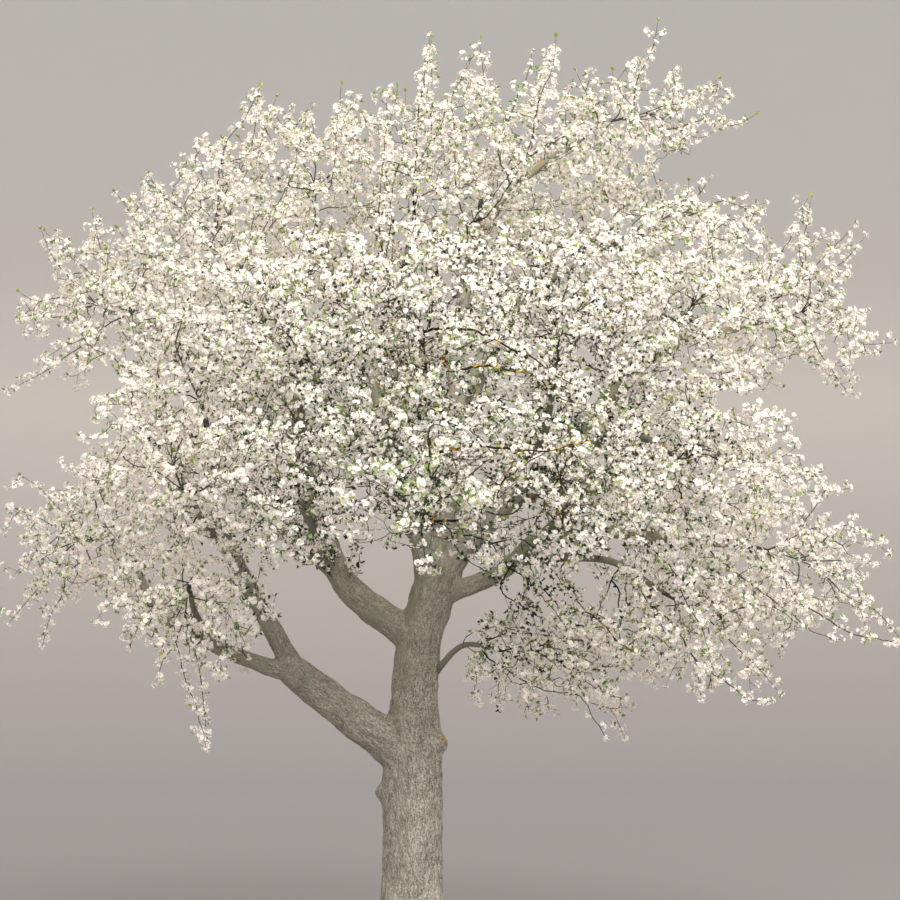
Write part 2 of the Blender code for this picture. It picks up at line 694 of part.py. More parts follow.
def find_foot(name, spray, nodes, space, obstacles, others):
    """The node from which a twig reaches a spray at the least cost, as its index, or None."""
    root, tip, _ = spray
    end = root + SPRAY_SUNK * (tip - root)
    options = []
    for index, (point, heading, path_length) in enumerate(nodes):
        run = end - point
        distance = np.linalg.norm(run)
        if distance > TWIG_SHORTEST:
            turn = TURN_COST if unit(run) @ heading < 0.2 else 0.0
            options.append((distance + PATH_COST * path_length + turn, index))
    ranked = []
    for cost, index in sorted(options)[:FEET_TRIED]:
        point = nodes[index][0]
        if obstacles.clear(name, point, end, TWIG_RADIUS) and space.in_cell(end, TWIG_RADIUS):
            crossed = sum(lines_apart(point, root, low, high) < 0.7 * size for low, high, size in others)
            ranked.append((cost + CROSSING_COST * crossed, index))
    return min(ranked)[1] if ranked else None


def grow_mass(mass, stem, space, obstacles, seed):
    """The twigs and the sprays of a mass, as (start, end) and (root, tip, width)."""
    chance = random.Random(seed)
    nodes = []
    for share in STEM_NODES_AT:
        point, tangent, _ = stem.at(share * stem.length)
        nodes.append((point, tangent, share * stem.length))
    wanted = choose_sprays(mass, stem, space, obstacles, chance)
    twigs, sprays = [], []
    for spray in wanted:
        root, tip, width = spray
        others = [other for other in wanted if other is not spray]
        seat = find_seat(spray, nodes, others)
        if seat is not None and obstacles.clear(mass.name, seat, tip, width):
            sprays.append((seat - SPRAY_SUNK * width * unit(tip - seat), tip, width))
            continue
        index = find_foot(mass.name, spray, nodes, space, obstacles, others)
        if index is not None:
            point, _, path_length = nodes[index]
            run = root + SPRAY_SUNK * (tip - root) - point
            twigs.append((point, point + run))
            sprays.append(spray)
            for share in TWIG_NODES_AT:
                nodes.append((point + share * run, unit(run), path_length + share * np.linalg.norm(run)))
    return twigs, sprays


def twig_shape(start, end):
    """A tapering twig, its foot sunk into what carries it."""
    heading = unit(end - start)
    side = unit(np.cross(heading, (0.31, 0.77, 0.55)))
    across = np.cross(heading, side)
    rings = []
    foot = start - heading * TWIG_RADIUS * TWIG_FOOT_SUNK
    for point, size in ((foot, TWIG_RADIUS), (end, TWIG_RADIUS * TWIG_TAPER)):
        turns = [2 * math.pi * k / TWIG_SIDES for k in range(TWIG_SIDES)]
        rings.append([point + size * (math.cos(a) * side + math.sin(a) * across) for a in turns])
    return loft(rings)


def spray_shape(root, tip, width, chance):
    """A spray of blossom as a leaf of eight faces: pointed at both ends, widest below the middle."""
    heading = unit(tip - root)
    side = unit(np.cross(heading, (0.42, 0.28, 0.86)))
    across = np.cross(heading, side)
    girth = root + SPRAY_GIRTH_AT * (tip - root)
    shape = bmesh.new()
    low = shape.verts.new(Vector(root))
    high = shape.verts.new(Vector(tip))
    start = chance.uniform(0, 2 * math.pi)
    belt = []
    for k in range(4):
        turn = start + 0.5 * math.pi * (k + chance.uniform(-0.18, 0.18))
        reach = width * chance.uniform(0.75, 1.0)
        offset = heading * width * chance.uniform(-0.5, 0.5)
        corner = girth + offset + reach * (math.cos(turn) * side + math.sin(turn) * across)
        belt.append(shape.verts.new(Vector(corner)))
    for k in range(4):
        following = belt[(k + 1) % 4]
        shape.faces.new((low, belt[k], following))
        shape.faces.new((high, following, belt[k]))
    bmesh.ops.recalc_face_normals(shape, faces=shape.faces)
    return shape


def build_mass_solid(mass, stem, space, obstacles, seed):
    """One mass of blossom: its stem, twigs and sprays fused into one solid."""
    twigs, sprays = grow_mass(mass, stem, space, obstacles, seed)
    chance = random.Random(seed + 500)
    made = new_object(mass.name, loft([stem.ring(share * stem.length) for share in (0.0, *STEM_NODES_AT)]))
    pieces = []
    for start, end in twigs:
        pieces.append(new_object("twig", twig_shape(start, end)))
    for root, tip, width in sprays:
        pieces.append(new_object("spray", spray_shape(root, tip, width, chance)))
    fuse(made, pieces)
    return made


def finish(made, colour, roughness):
    """Gives an object its own plain material and smooth shading with crisp edges."""
    material = bpy.data.materials.new(made.name)
    material.use_nodes = True
    shader = material.node_tree.nodes["Principled BSDF"]
    shader.inputs["Base Color"].default_value = (*colour, 1.0)
    shader.inputs["Roughness"].default_value = roughness
    shader.inputs["Metallic"].default_value = 0.0
    material.diffuse_color = (*colour, 1.0)
    made.data.materials.clear()
    made.data.materials.append(material)
    made.data.shade_smooth()
    made.data.set_sharp_from_angle(angle=SMOOTH_ANGLE)


def main():
    """Builds the tree."""
    for old in list(bpy.data.objects):
        bpy.data.objects.remove(old)
    paths, collars = build_skeleton()
    finish(build_limb_solid("trunk", paths, collars), BARK_COLOUR, 0.9)
    for limb in LIMBS:
        made = build_limb_solid(limb.name, paths, collars)
        colour = BRANCH_COLOUR if limb.foot_radius < BRANCH_BELOW_RADIUS else BARK_COLOUR
        finish(made, colour, 0.85)
    stems = {mass.name: stem_of(mass, paths) for mass in MASSES}
    obstacles = Obstacles()
    for name, path in paths.items():
        obstacles.add(name, *limb_line_past_fork(name, path))
    for name, path in stems.items():
        obstacles.add(name, *limb_line(path))
    obstacles.freeze()
    for seed, mass in enumerate(MASSES):
        made = build_mass_solid(mass, stems[mass.name], Space(mass), obstacles, seed)
        finish(made, BLOSSOM_COLOUR, 0.7)


main()
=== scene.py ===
"""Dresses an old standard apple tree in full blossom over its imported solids.

One skin of fissured bark covers the trunk and the boughs. Each mass of the crown is grown again by the
rule of its solid and carried on to fine shoots, which bear spurs, flowers and young leaves. Metres, +Z up.
"""

import json
import logging
import math
import random
from collections.abc import Callable, Iterable, Sequence
from dataclasses import dataclass, field, fields
from enum import Enum
from itertools import chain, product

import bpy
import numpy as np
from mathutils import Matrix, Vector

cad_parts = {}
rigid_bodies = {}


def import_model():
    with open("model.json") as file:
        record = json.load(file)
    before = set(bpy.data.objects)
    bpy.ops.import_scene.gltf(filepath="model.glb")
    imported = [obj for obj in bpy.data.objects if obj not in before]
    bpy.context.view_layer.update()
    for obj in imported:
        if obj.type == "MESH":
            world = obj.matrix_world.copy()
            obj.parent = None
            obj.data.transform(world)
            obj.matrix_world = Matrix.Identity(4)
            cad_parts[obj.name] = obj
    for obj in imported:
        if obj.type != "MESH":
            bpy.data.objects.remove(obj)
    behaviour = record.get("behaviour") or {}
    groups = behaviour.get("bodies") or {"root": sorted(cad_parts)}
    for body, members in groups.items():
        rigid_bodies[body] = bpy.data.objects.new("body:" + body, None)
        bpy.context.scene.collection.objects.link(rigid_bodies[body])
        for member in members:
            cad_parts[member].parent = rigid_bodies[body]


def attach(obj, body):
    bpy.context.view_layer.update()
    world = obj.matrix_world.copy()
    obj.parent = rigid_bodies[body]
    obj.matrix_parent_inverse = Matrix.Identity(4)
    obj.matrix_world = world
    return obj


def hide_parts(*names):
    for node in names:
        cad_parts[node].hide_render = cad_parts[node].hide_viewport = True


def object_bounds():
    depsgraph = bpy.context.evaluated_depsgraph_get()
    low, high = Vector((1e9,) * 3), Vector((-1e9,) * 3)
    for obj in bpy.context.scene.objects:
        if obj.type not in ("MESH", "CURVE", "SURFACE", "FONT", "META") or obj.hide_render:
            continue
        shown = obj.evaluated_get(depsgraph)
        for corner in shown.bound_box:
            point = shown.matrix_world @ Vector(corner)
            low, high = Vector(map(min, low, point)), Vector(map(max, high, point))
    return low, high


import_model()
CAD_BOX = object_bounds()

log = logging.getLogger("tree")
Place = tuple[float, float, float]
Array = np.ndarray

# Clearance between neighbouring solids
GAP = 0.0003

# Trunk: height above ground of each level, the lean of its centre line there, and its radius
TRUNK_LEVELS = (
    # height, lean along X, lean along Y, radius
    (0.00, 0.00, 0.00, 0.298),
    (0.30, 0.00, 0.00, 0.272),
    (0.80, 0.00, 0.00, 0.262),
    (1.25, 0.00, 0.00, 0.266),
    (1.60, 0.00, 0.00, 0.264),
    (1.95, 0.00, 0.00, 0.242),
    (2.35, 0.02, 0.00, 0.208),
    (2.75, 0.05, 0.00, 0.190),
    (3.05, 0.13, 0.00, 0.198),
    (3.40, 0.25, 0.00, 0.205),
)

# Root flare: how far the foot swells, how fast that fades upwards, and its lobes, turned by an angle
FLARE_SWELL = 0.30
FLARE_FADE = 0.22
FLARE_LOBES = 5
FLARE_LOBE_DEPTH = 0.16
FLARE_LOBES_TURNED = 0.7

# Healed cuts and burrs on the trunk: height, bearing in degrees from +X, swell and spread
TRUNK_BURRS = (
    (1.89, -12.0, 0.085, 0.090),
    (1.45, 178.0, 0.070, 0.070),
    (1.05, -65.0, 0.022, 0.160),
    (2.45, 200.0, 0.015, 0.140),
)
BURR_NARROWNESS = 6

# Limbs: the steps of a centre line, the collar at the foot and how fast it fades, and a fork's rounded end
CURVE_SAMPLES = 72
COLLAR_SWELL = 0.22
COLLAR_FADE = 0.16
FORK_END = ((0.05, 0.82), (0.09, 0.45))

# Stem of a mass: how far it carries on in its bough's line, its radii, and where twigs leave it
STEM_BEND_AT = 0.45
STEM_FOOT_SHARE = 0.85
STEM_TIP_RADIUS = 0.014
STEM_NODES_AT = (0.30, 0.55, 0.80, 1.0)

# Twigs of the solids: radius, where further twigs leave one, and its shortest run
TWIG_RADIUS = 0.012
TWIG_NODES_AT = (0.3, 0.55, 0.8)
TWIG_SHORTEST = 0.08

# Sprays of the solids: how many, their length and half width, where they are widest, how far they are sunk
SPRAYS_PER_MASS = 11
SPRAY_LENGTH = (0.72, 0.95)
SPRAY_WIDTH = 0.215
SPRAY_WIDTH_SPREAD = (0.85, 1.15)
SPRAY_GIRTH_AT = 0.40
SPRAY_SUNK = 0.22

# Long shoots that reach the crown's furthest tips, and how much of their heading comes from foot and habit
SHOOT_LENGTH = 0.80
SHOOT_WIDTH = 0.060
SHOOT_FROM_FOOT = 0.5
SHOOT_HABIT = 0.3

# Choice of a spray's place: offers for each, the sizes tried, the shell of the space, its headings' spread
OFFERS = 16
SPRAY_SHRINKS = (1.0, 0.84, 0.68, 0.54)
SPRAY_SHELL = (0.25, 1.0)
SPRAY_REACH = 0.86
SPRAY_WANDER = 0.45
SPRAY_SPACING = 0.75

# Choice of a twig's seat: how near a spray seats itself, how far its heading carries on, the share of its
# length past which it has to be clear of other sprays, and of what share of their width
SPRAY_SEAT = 0.30
SEATS_TRIED = 4
SEAT_LEAN = 0.1
SEAT_CLEAR_FROM = 0.35
SEAT_CLEARANCE = 0.6

# Choice of a twig's foot: what a long path, a sharp turn and a crossing cost, and what counts as these
FEET_TRIED = 8
PATH_COST = 0.45
TURN_COST = 0.6
SHARP_TURN = 0.2
CROSSING_COST = 0.5
CROSSING_WITHIN = 0.7

# Clearances of twigs and sprays from a neighbouring mass's space and from limbs
CELL_MARGIN = 0.02
LIMB_MARGIN = 0.01

# Blossom clusters: their spacing along a shoot and along a wand, how much of a wand's foot, of a shoot's foot
# and of an upright wand's tip is bare, how far a cluster shifts, and the turn from one to the next
CLUSTER_SPACING = 0.056
WAND_SPACING = 0.046
BARE_SHARE = 0.18
BARE_FOOT = 0.02
BARE_TIP = 0.11
STATION_SHIFT = 0.015
GOLDEN_TURN = math.radians(137.5)

# A random turn, and a direction that no twig follows, to cross with one that does
FULL_TURN = 6.28
ODD_DIRECTION = (0.31, 0.77, 0.55)

# How steeply an upright wand rises at its tip, and how many such wands end in a tuft of leaves
UPRIGHT_RISE = 0.3
LEAFY_TIPS = 0.75

# How far a spur leans along its twig, how much it and the twig's end turn upwards, and where on a side twig
# its second cluster's spur stands
SPUR_LEAN = (0.3, 1.3)
SPUR_LIFT = (0, 0, 0.25)
END_LIFT = (0, 0, 0.1)
SECOND_SPUR_AT = 0.55

# Spurs that bear one cluster, and side twigs that bear two: lengths, and the share of side twigs
SPUR_LENGTHS = (0.010, 0.035)
SIDE_TWIG_LENGTHS = (0.050, 0.150)
SIDE_TWIG_SHARE = 0.48
WAND_TWIG_SHARE = 0.26

# Bends of the crown's space: the size of a bend and how far it goes, and the height where they start
MEANDERS = ((0.42, 0.075), (0.15, 0.024))
MEANDER_FROM = 3.1

# How much more the fine shoots follow their habit, the lean of all shoots away from the trunk, and the share
# of a cluster's distance from the crown's middle that has to lie in the outline
HABIT_GAIN = 1.7
OUTWARD_LEAN = 0.35
WITHIN_OUTLINE = 0.97

# How far the twigs may reach past the solids towards the camera and away from it
DEPTH_MARGIN = 0.02

# Short spur shoots on the limbs: from which share of the limb, their lengths, spacing, radii and upward turn
LIMB_SPURS_FROM = 0.22
LIMB_SPUR_LENGTHS = (0.08, 0.38)
LIMB_SPUR_SPACING = (0.045, 0.10)
LIMB_SPUR_RADII = (0.005, 0.003)
LIMB_SPUR_STEP = 0.07
LIMB_SPUR_LIFT = (0, 0, 0.5)

# Single shoots: how much a foot behind the shoot is preferred, the step along it, and its unevenness
FOOT_BEHIND = 0.6
SEEN_STEP = 0.05
SEEN_UNEVENNESS = 0.005

# Seed of the crown's finer growth, and what is added to it for each of its later steps
CROWN_SEED = 400
LIMB_SPURS_STEP = 100
REGIONS_STEP = 200
SEEN_SHOOTS_STEP = 300

# A distance that is longer than any in the tree
OUT_OF_REACH = 99.0

# Bark: readings that draw out a streak in the mesh and in the finish, its contrast, the points that are
# handled at once, and the height below which the foot is cut flat
STREAK_READINGS = 7
STREAK_CONTRAST = 2.4
SHADER_READINGS = 3
SKIN_BLOCK = 4000
FOOT_FLAT = 0.010

# Crusts of lichen on the trunk: place and spread
LICHEN_SPOTS = ((0.30, -0.10, 1.95, 0.06), (0.02, -0.24, 1.42, 0.03))

# Rings of a limb's rounded end: how far past it in radii, and their scale
LIMB_ENDS = ((0.35, 0.86), (0.62, 0.52))

# Faces of a spur: a three-sided spike
SPUR_FACES = np.array([(0, 1, 3), (1, 2, 3), (2, 0, 3)])

# Most triangles that one joined piece may have
PIECE_LIMIT = 180_000

# Middle and reach of the whole crown
CROWN_MIDDLE = np.array((0.35, -0.1, 5.0))
CROWN_REACH = np.array((4.0, 3.2, 3.4))

# Middle of the shade in the crown, just above the fork, where flowers are few and twigs dark
SHADE_MIDDLE = np.array((0.40, -0.1, 4.35))

# Crown as the front view shows it, on the plane through the trunk: its outline, clockwise from the lower left
CROWN_OUTLINE = (
    (-3.65, 2.60), (-3.66, 3.69), (-3.60, 4.25), (-3.10, 4.45), (-3.45, 4.88), (-3.70, 5.00), (-3.64, 5.60),
    (-3.50, 5.95), (-3.24, 6.25), (-3.44, 6.54), (-3.02, 6.74), (-2.50, 6.95), (-2.10, 7.42), (-1.82, 7.50),
    (-1.41, 7.85), (-1.00, 7.68), (-0.64, 7.90), (-0.05, 7.95), (0.15, 8.30), (0.33, 7.90), (0.60, 8.32),
    (0.82, 7.88), (1.30, 8.34), (1.55, 7.90), (2.27, 8.48), (2.12, 8.06), (2.79, 8.00), (3.15, 7.60),
    (2.52, 7.22), (2.15, 7.12), (2.70, 7.00), (2.56, 6.72), (3.09, 6.86), (3.63, 6.88), (4.02, 6.66),
    (4.12, 6.42), (3.92, 5.96), (4.42, 5.48), (4.38, 5.14), (3.89, 4.98), (3.34, 5.16), (3.30, 4.95),
    (3.66, 4.70), (3.45, 4.58), (3.92, 4.15), (3.62, 3.98), (4.00, 3.68), (4.18, 3.44), (4.00, 3.06),
    (4.40, 2.74), (3.50, 2.86), (3.42, 2.40), (3.20, 2.20), (2.36, 2.17), (2.02, 2.36), (1.86, 1.82),
    (1.57, 2.20), (1.31, 2.03), (0.60, 2.18), (0.42, 2.62), (0.44, 3.20), (-0.20, 3.45), (-0.74, 2.80),
    (-1.05, 2.40), (-1.55, 2.38), (-1.75, 1.80), (-1.84, 1.82), (-2.02, 2.72), (-2.66, 2.74), (-3.04, 3.10),
    (-3.30, 2.60),
)
# Gaps in the crown that show the sky: X, height, half width, half height
SKY_PATCHES = (
    (-2.76, 5.23, 0.11, 0.27),
    (-0.13, 3.30, 0.10, 0.20),
    (-0.54, 2.64, 0.38, 0.32),
    (0.40, 3.02, 0.10, 0.20),
    (1.40, 6.15, 0.06, 0.08),
)
# Windows through which the wood above the fork shows, and the share of flowers that they clear away
WOOD_WINDOWS = ((0.34, 3.68, 0.46, 0.24), (0.95, 3.85, 0.34, 0.30), (-0.38, 3.95, 0.22, 0.34))
WOOD_SHOWN = 0.62

# The photograph's camera
CAMERA_AT = (0.33, -20.0, 2.2)
CAMERA_AIM = (0.33, 0.0, 4.5)
VIEW_ANGLE = math.radians(22.75)
SENSOR_WIDTH = 36.0


class Habit(Enum):
    """The way in which the shoots of a mass grow, as a lean that is added to their headings."""

    UPRIGHT = (0.0, 0.0, 0.95)
    SPREADING = (0.0, 0.0, 0.25)
    WEEPING = (0.0, 0.0, -0.75)


class Region(Enum):
    """A part of the crown whose twigs, flowers and leaves are joined, each kind apart."""

    LEFT = "left"
    TOP = "top"
    FRONT = "front"
    RIGHT = "right"
    BACK = "back"


UPRIGHT, SPREADING, WEEPING = Habit.UPRIGHT, Habit.SPREADING, Habit.WEEPING
LEFT, TOP, FRONT, RIGHT, BACK = Region.LEFT, Region.TOP, Region.FRONT, Region.RIGHT, Region.BACK

# Bare twigs in the shaded middle of each mass; those deep in the crown take the near-black bark of painted
# shade
BARE_TWIGS = {LEFT: 40, TOP: 12, FRONT: 130, RIGHT: 60, BACK: 20}


@dataclass(frozen=True)
class Limb:
    """A bough: where it leaves its parent, the knees it passes, its tip, and its two radii.

    It leaves the trunk at a height above ground, and another limb at a share of that limb's length.
    """

    name: str
    parent: str
    leaves_at: float
    knees: tuple[Place, ...]
    tip: Place
    foot_radius: float
    tip_radius: float


@dataclass(frozen=True)
class Mass:
    """A mass of blossom: its region, bough and space, its habit, its fine shoots and its furthest tips."""

    name: str
    region: Region
    bough: str
    centre: Place
    radii: Place
    habit: Habit
    fine_shoots: int
    tips: tuple[Place, ...] = ()


LIMBS: tuple[Limb, ...] = (
    Limb("bough_left_low", "trunk", 1.74, ((-0.70, -0.08, 2.24),), (-1.06, -0.16, 2.52), 0.195, 0.150),
    Limb("bough_left_rising", "bough_left_low", 0.96,
         ((-1.31, -0.30, 3.03), (-1.60, -0.45, 3.61)), (-1.79, -0.80, 4.60), 0.100, 0.040),
    Limb("bough_left_outer", "bough_left_low", 0.93,
         ((-1.56, -0.25, 2.66), (-2.19, -0.20, 2.97)), (-2.47, -0.10, 3.45), 0.085, 0.035),
    Limb("branch_left_hanging", "bough_left_outer", 0.45, ((-1.88, -0.60, 3.02),), (-1.89, -0.88, 3.18),
         0.040, 0.025),
    Limb("branch_left_inner", "bough_left_rising", 0.50, ((-1.77, -0.90, 3.79),), (-1.86, -1.10, 3.93),
         0.045, 0.028),
    Limb("bough_left_upper", "trunk", 2.79,
         ((-0.55, 0.05, 3.24), (-0.82, 0.00, 3.78), (-0.96, -0.10, 4.58)), (-1.46, -0.25, 5.90),
         0.152, 0.035),
    Limb("bough_left_arm", "bough_left_upper", 0.45, ((-1.57, 0.10, 5.01),), (-2.45, 0.00, 5.65),
         0.060, 0.028),
    Limb("branch_centre_left_low", "bough_left_upper", 0.30, ((-0.92, -0.80, 3.87),), (-0.92, -1.40, 3.95),
         0.050, 0.028),
    Limb("branch_centre_left", "bough_left_upper", 0.60, ((-1.00, -0.70, 4.95),), (-0.97, -1.20, 5.06),
         0.050, 0.028),
    Limb("bough_centre_leader", "trunk", 3.22,
         ((0.06, 0.00, 3.69), (-0.22, 0.00, 4.23), (-0.19, 0.00, 5.05)), (-0.04, 0.00, 6.30), 0.130, 0.040),
    Limb("bough_centre_left_leader", "bough_centre_leader", 0.45, ((-0.47, 0.20, 5.44),),
         (-0.80, 0.30, 6.35), 0.065, 0.032),
    Limb("branch_front", "bough_centre_leader", 0.40, ((-0.03, -0.80, 4.76),), (0.08, -1.50, 4.92),
         0.060, 0.030),
    Limb("branch_front_low", "bough_centre_leader", 0.26, ((0.00, -0.90, 3.90),), (0.12, -1.70, 3.97),
         0.055, 0.028),
    Limb("bough_right_leader", "trunk", 3.40, ((0.35, 0.10, 4.33), (0.40, 0.10, 5.43)), (0.60, 0.10, 6.60),
         0.120, 0.040),
    Limb("bough_top_right", "bough_right_leader", 0.75,
         ((0.79, 0.05, 6.78),), (1.52, 0.00, 7.38), 0.050, 0.028),
    Limb("branch_right_shoulder", "bough_right_leader", 0.50, ((1.16, 0.30, 6.02),), (1.83, 0.35, 6.45),
         0.055, 0.028),
    Limb("bough_right_upper", "trunk", 3.40,
         ((0.78, -0.05, 3.97), (1.50, -0.10, 4.67), (2.19, -0.10, 5.38)), (3.00, -0.10, 5.62),
         0.140, 0.032),
    Limb("branch_centre_right", "bough_right_upper", 0.30, ((1.15, -0.80, 4.58),), (1.20, -1.30, 4.96),
         0.055, 0.028),
    Limb("branch_right_mid", "bough_right_upper", 0.62, ((2.20, -0.50, 5.37),), (2.30, -0.70, 5.48),
         0.045, 0.026),
    Limb("branch_right_inner", "bough_right_upper", 0.42, ((1.99, -0.60, 4.52),), (2.20, -0.90, 4.38),
         0.050, 0.028),
    Limb("bough_right_low", "trunk", 3.15, ((0.77, -0.20, 3.38), (1.29, -0.50, 3.72)), (2.75, -0.40, 3.61),
         0.095, 0.030),
    Limb("branch_centre_right_low", "bough_right_low", 0.40, ((1.32, -1.00, 3.85),), (1.27, -1.40, 3.94),
         0.045, 0.028),
    Limb("branch_right_drooping", "bough_right_low", 0.30, ((1.67, -0.50, 3.48),), (2.17, -0.60, 3.19),
         0.045, 0.026),
    Limb("branch_low_right", "trunk", 2.24, ((0.40, -0.10, 2.72),), (0.72, -0.15, 2.72), 0.036, 0.024),
    Limb("bough_back_centre", "trunk", 3.40, ((0.31, 0.70, 3.88),), (0.14, 1.50, 4.67), 0.110, 0.040),
    Limb("branch_back_left_high", "bough_centre_leader", 0.30, ((-0.79, 0.70, 5.05),), (-1.48, 1.20, 5.89),
         0.070, 0.030),
    Limb("branch_back_right_high", "bough_right_leader", 0.40, ((0.80, 0.70, 5.67),), (1.20, 1.20, 6.36),
         0.070, 0.030),
    Limb("branch_back_left_low", "bough_left_upper", 0.20, ((-1.15, 0.70, 3.74),), (-1.58, 1.30, 4.05),
         0.060, 0.030),
    Limb("branch_back_right_low", "bough_right_upper", 0.22, ((1.35, 0.70, 4.19),), (1.86, 1.30, 4.26),
         0.065, 0.030),
)

MASSES: tuple[Mass, ...] = (
    Mass("blossom_top_left", LEFT, "bough_left_upper", (-1.76, -0.30, 6.40), (0.92, 0.90, 0.90),
         UPRIGHT, 56, ((-2.38, -0.25, 6.95), (-1.40, -0.25, 7.75))),
    Mass("blossom_top_centre_left", TOP, "bough_centre_left_leader", (-0.95, 0.35, 7.05), (0.78, 0.90, 0.85),
         UPRIGHT, 56, ((-0.62, 0.30, 7.85),)),
    Mass("blossom_top_centre", TOP, "bough_centre_leader", (0.04, -0.20, 7.05), (0.75, 0.90, 0.95),
         UPRIGHT, 60, ((0.15, -0.20, 8.25),)),
    Mass("blossom_top_right", TOP, "bough_right_leader", (1.02, 0.15, 7.20), (0.80, 0.90, 0.95),
         UPRIGHT, 56, ((0.59, 0.10, 8.28), (1.28, 0.10, 8.30))),
    Mass("blossom_top_right_arm", TOP, "bough_top_right", (2.05, 0.00, 7.55), (0.95, 0.70, 0.55),
         SPREADING, 34, ((2.23, 0.00, 8.43), (3.10, 0.00, 7.60), (2.75, 0.00, 7.92))),
    Mass("blossom_right_shoulder", TOP, "branch_right_shoulder", (2.40, 0.30, 6.75), (0.85, 0.85, 0.55),
         SPREADING, 34, ((2.72, 0.30, 7.05),)),
    Mass("blossom_left_arm", LEFT, "bough_left_arm", (-2.88, 0.00, 5.80), (0.75, 0.85, 0.70),
         SPREADING, 36, ((-3.38, 0.00, 6.50), (-3.64, 0.00, 5.05), (-2.92, 0.10, 6.66))),
    Mass("blossom_left_mid", LEFT, "bough_left_rising", (-2.02, -1.10, 5.28), (0.90, 0.85, 0.78),
         UPRIGHT, 50),
    Mass("blossom_centre_left", FRONT, "branch_centre_left", (-0.92, -1.90, 5.31), (0.85, 0.85, 0.85),
         UPRIGHT, 50),
    Mass("blossom_front", FRONT, "branch_front", (0.13, -2.30, 5.20), (0.85, 0.85, 0.90), UPRIGHT, 52),
    Mass("blossom_centre_right", FRONT, "branch_centre_right", (1.22, -1.90, 5.34), (0.90, 0.85, 0.85),
         UPRIGHT, 50),
    Mass("blossom_right_mid", RIGHT, "branch_right_mid", (2.40, -1.00, 5.64), (0.85, 0.90, 0.75),
         SPREADING, 46),
    Mass("blossom_right_arm", RIGHT, "bough_right_upper", (3.50, 0.00, 5.78), (0.85, 0.90, 0.72),
         SPREADING, 44, ((4.33, 0.00, 5.45), (4.08, 0.00, 6.45), (3.60, 0.00, 6.80), (3.95, 0.00, 5.02))),
    Mass("blossom_left_low_arm", LEFT, "bough_left_outer", (-2.98, 0.00, 3.68), (0.72, 0.85, 0.75),
         WEEPING, 34, ((-3.60, 0.00, 2.95), (-3.50, 0.00, 4.25), (-3.30, 0.00, 2.75))),
    Mass("blossom_left_low", LEFT, "branch_left_inner", (-1.96, -1.50, 4.20), (0.90, 0.85, 0.75),
         SPREADING, 48),
    Mass("blossom_centre_left_low", FRONT, "branch_centre_left_low", (-0.87, -2.20, 4.12), (0.85, 0.80, 0.70),
         SPREADING, 44),
    Mass("blossom_front_low", FRONT, "branch_front_low", (0.17, -2.60, 3.98), (0.85, 0.80, 0.72),
         SPREADING, 44),
    Mass("blossom_centre_right_low", FRONT, "branch_centre_right_low", (1.21, -2.20, 4.02),
         (0.85, 0.80, 0.75), SPREADING, 46),
    Mass("blossom_right_inner", RIGHT, "branch_right_inner", (2.42, -1.40, 4.30), (0.90, 0.85, 0.80),
         SPREADING, 50, ((3.75, -0.90, 4.05),)),
    Mass("blossom_right_low_arm", RIGHT, "bough_right_low", (3.40, -0.20, 3.50), (0.88, 0.90, 0.80),
         WEEPING, 42, ((4.35, 0.00, 2.80), (4.13, 0.00, 3.48))),
    Mass("blossom_left_hanging", LEFT, "branch_left_hanging", (-1.90, -1.10, 3.00), (0.70, 0.70, 0.62),
         WEEPING, 24, ((-1.72, -0.95, 1.92),)),
    Mass("blossom_right_hanging", RIGHT, "branch_low_right", (1.30, -0.20, 2.60), (0.85, 0.75, 0.52),
         WEEPING, 32, ((1.86, -0.20, 1.95),)),
    Mass("blossom_right_drooping", RIGHT, "branch_right_drooping", (2.50, -0.80, 2.98), (0.88, 0.85, 0.66),
         WEEPING, 42, ((3.15, -0.60, 2.35),)),
    Mass("blossom_back_left_high", BACK, "branch_back_left_high", (-2.05, 1.90, 6.40), (1.10, 1.00, 1.00),
         UPRIGHT, 54),
    Mass("blossom_back_centre", BACK, "bough_back_centre", (-0.18, 2.50, 5.40), (1.15, 0.95, 1.15),
         SPREADING, 56),
    Mass("blossom_back_right_high", BACK, "branch_back_right_high", (1.62, 1.80, 6.70), (1.15, 1.00, 1.00),
         UPRIGHT, 56),
    Mass("blossom_back_left_low", BACK, "branch_back_left_low", (-2.20, 2.00, 4.43), (1.10, 1.00, 0.95),
         SPREADING, 52),
    Mass("blossom_back_right_low", BACK, "branch_back_right_low", (2.42, 2.10, 4.44), (1.20, 1.00, 0.95),
         SPREADING, 54),
)


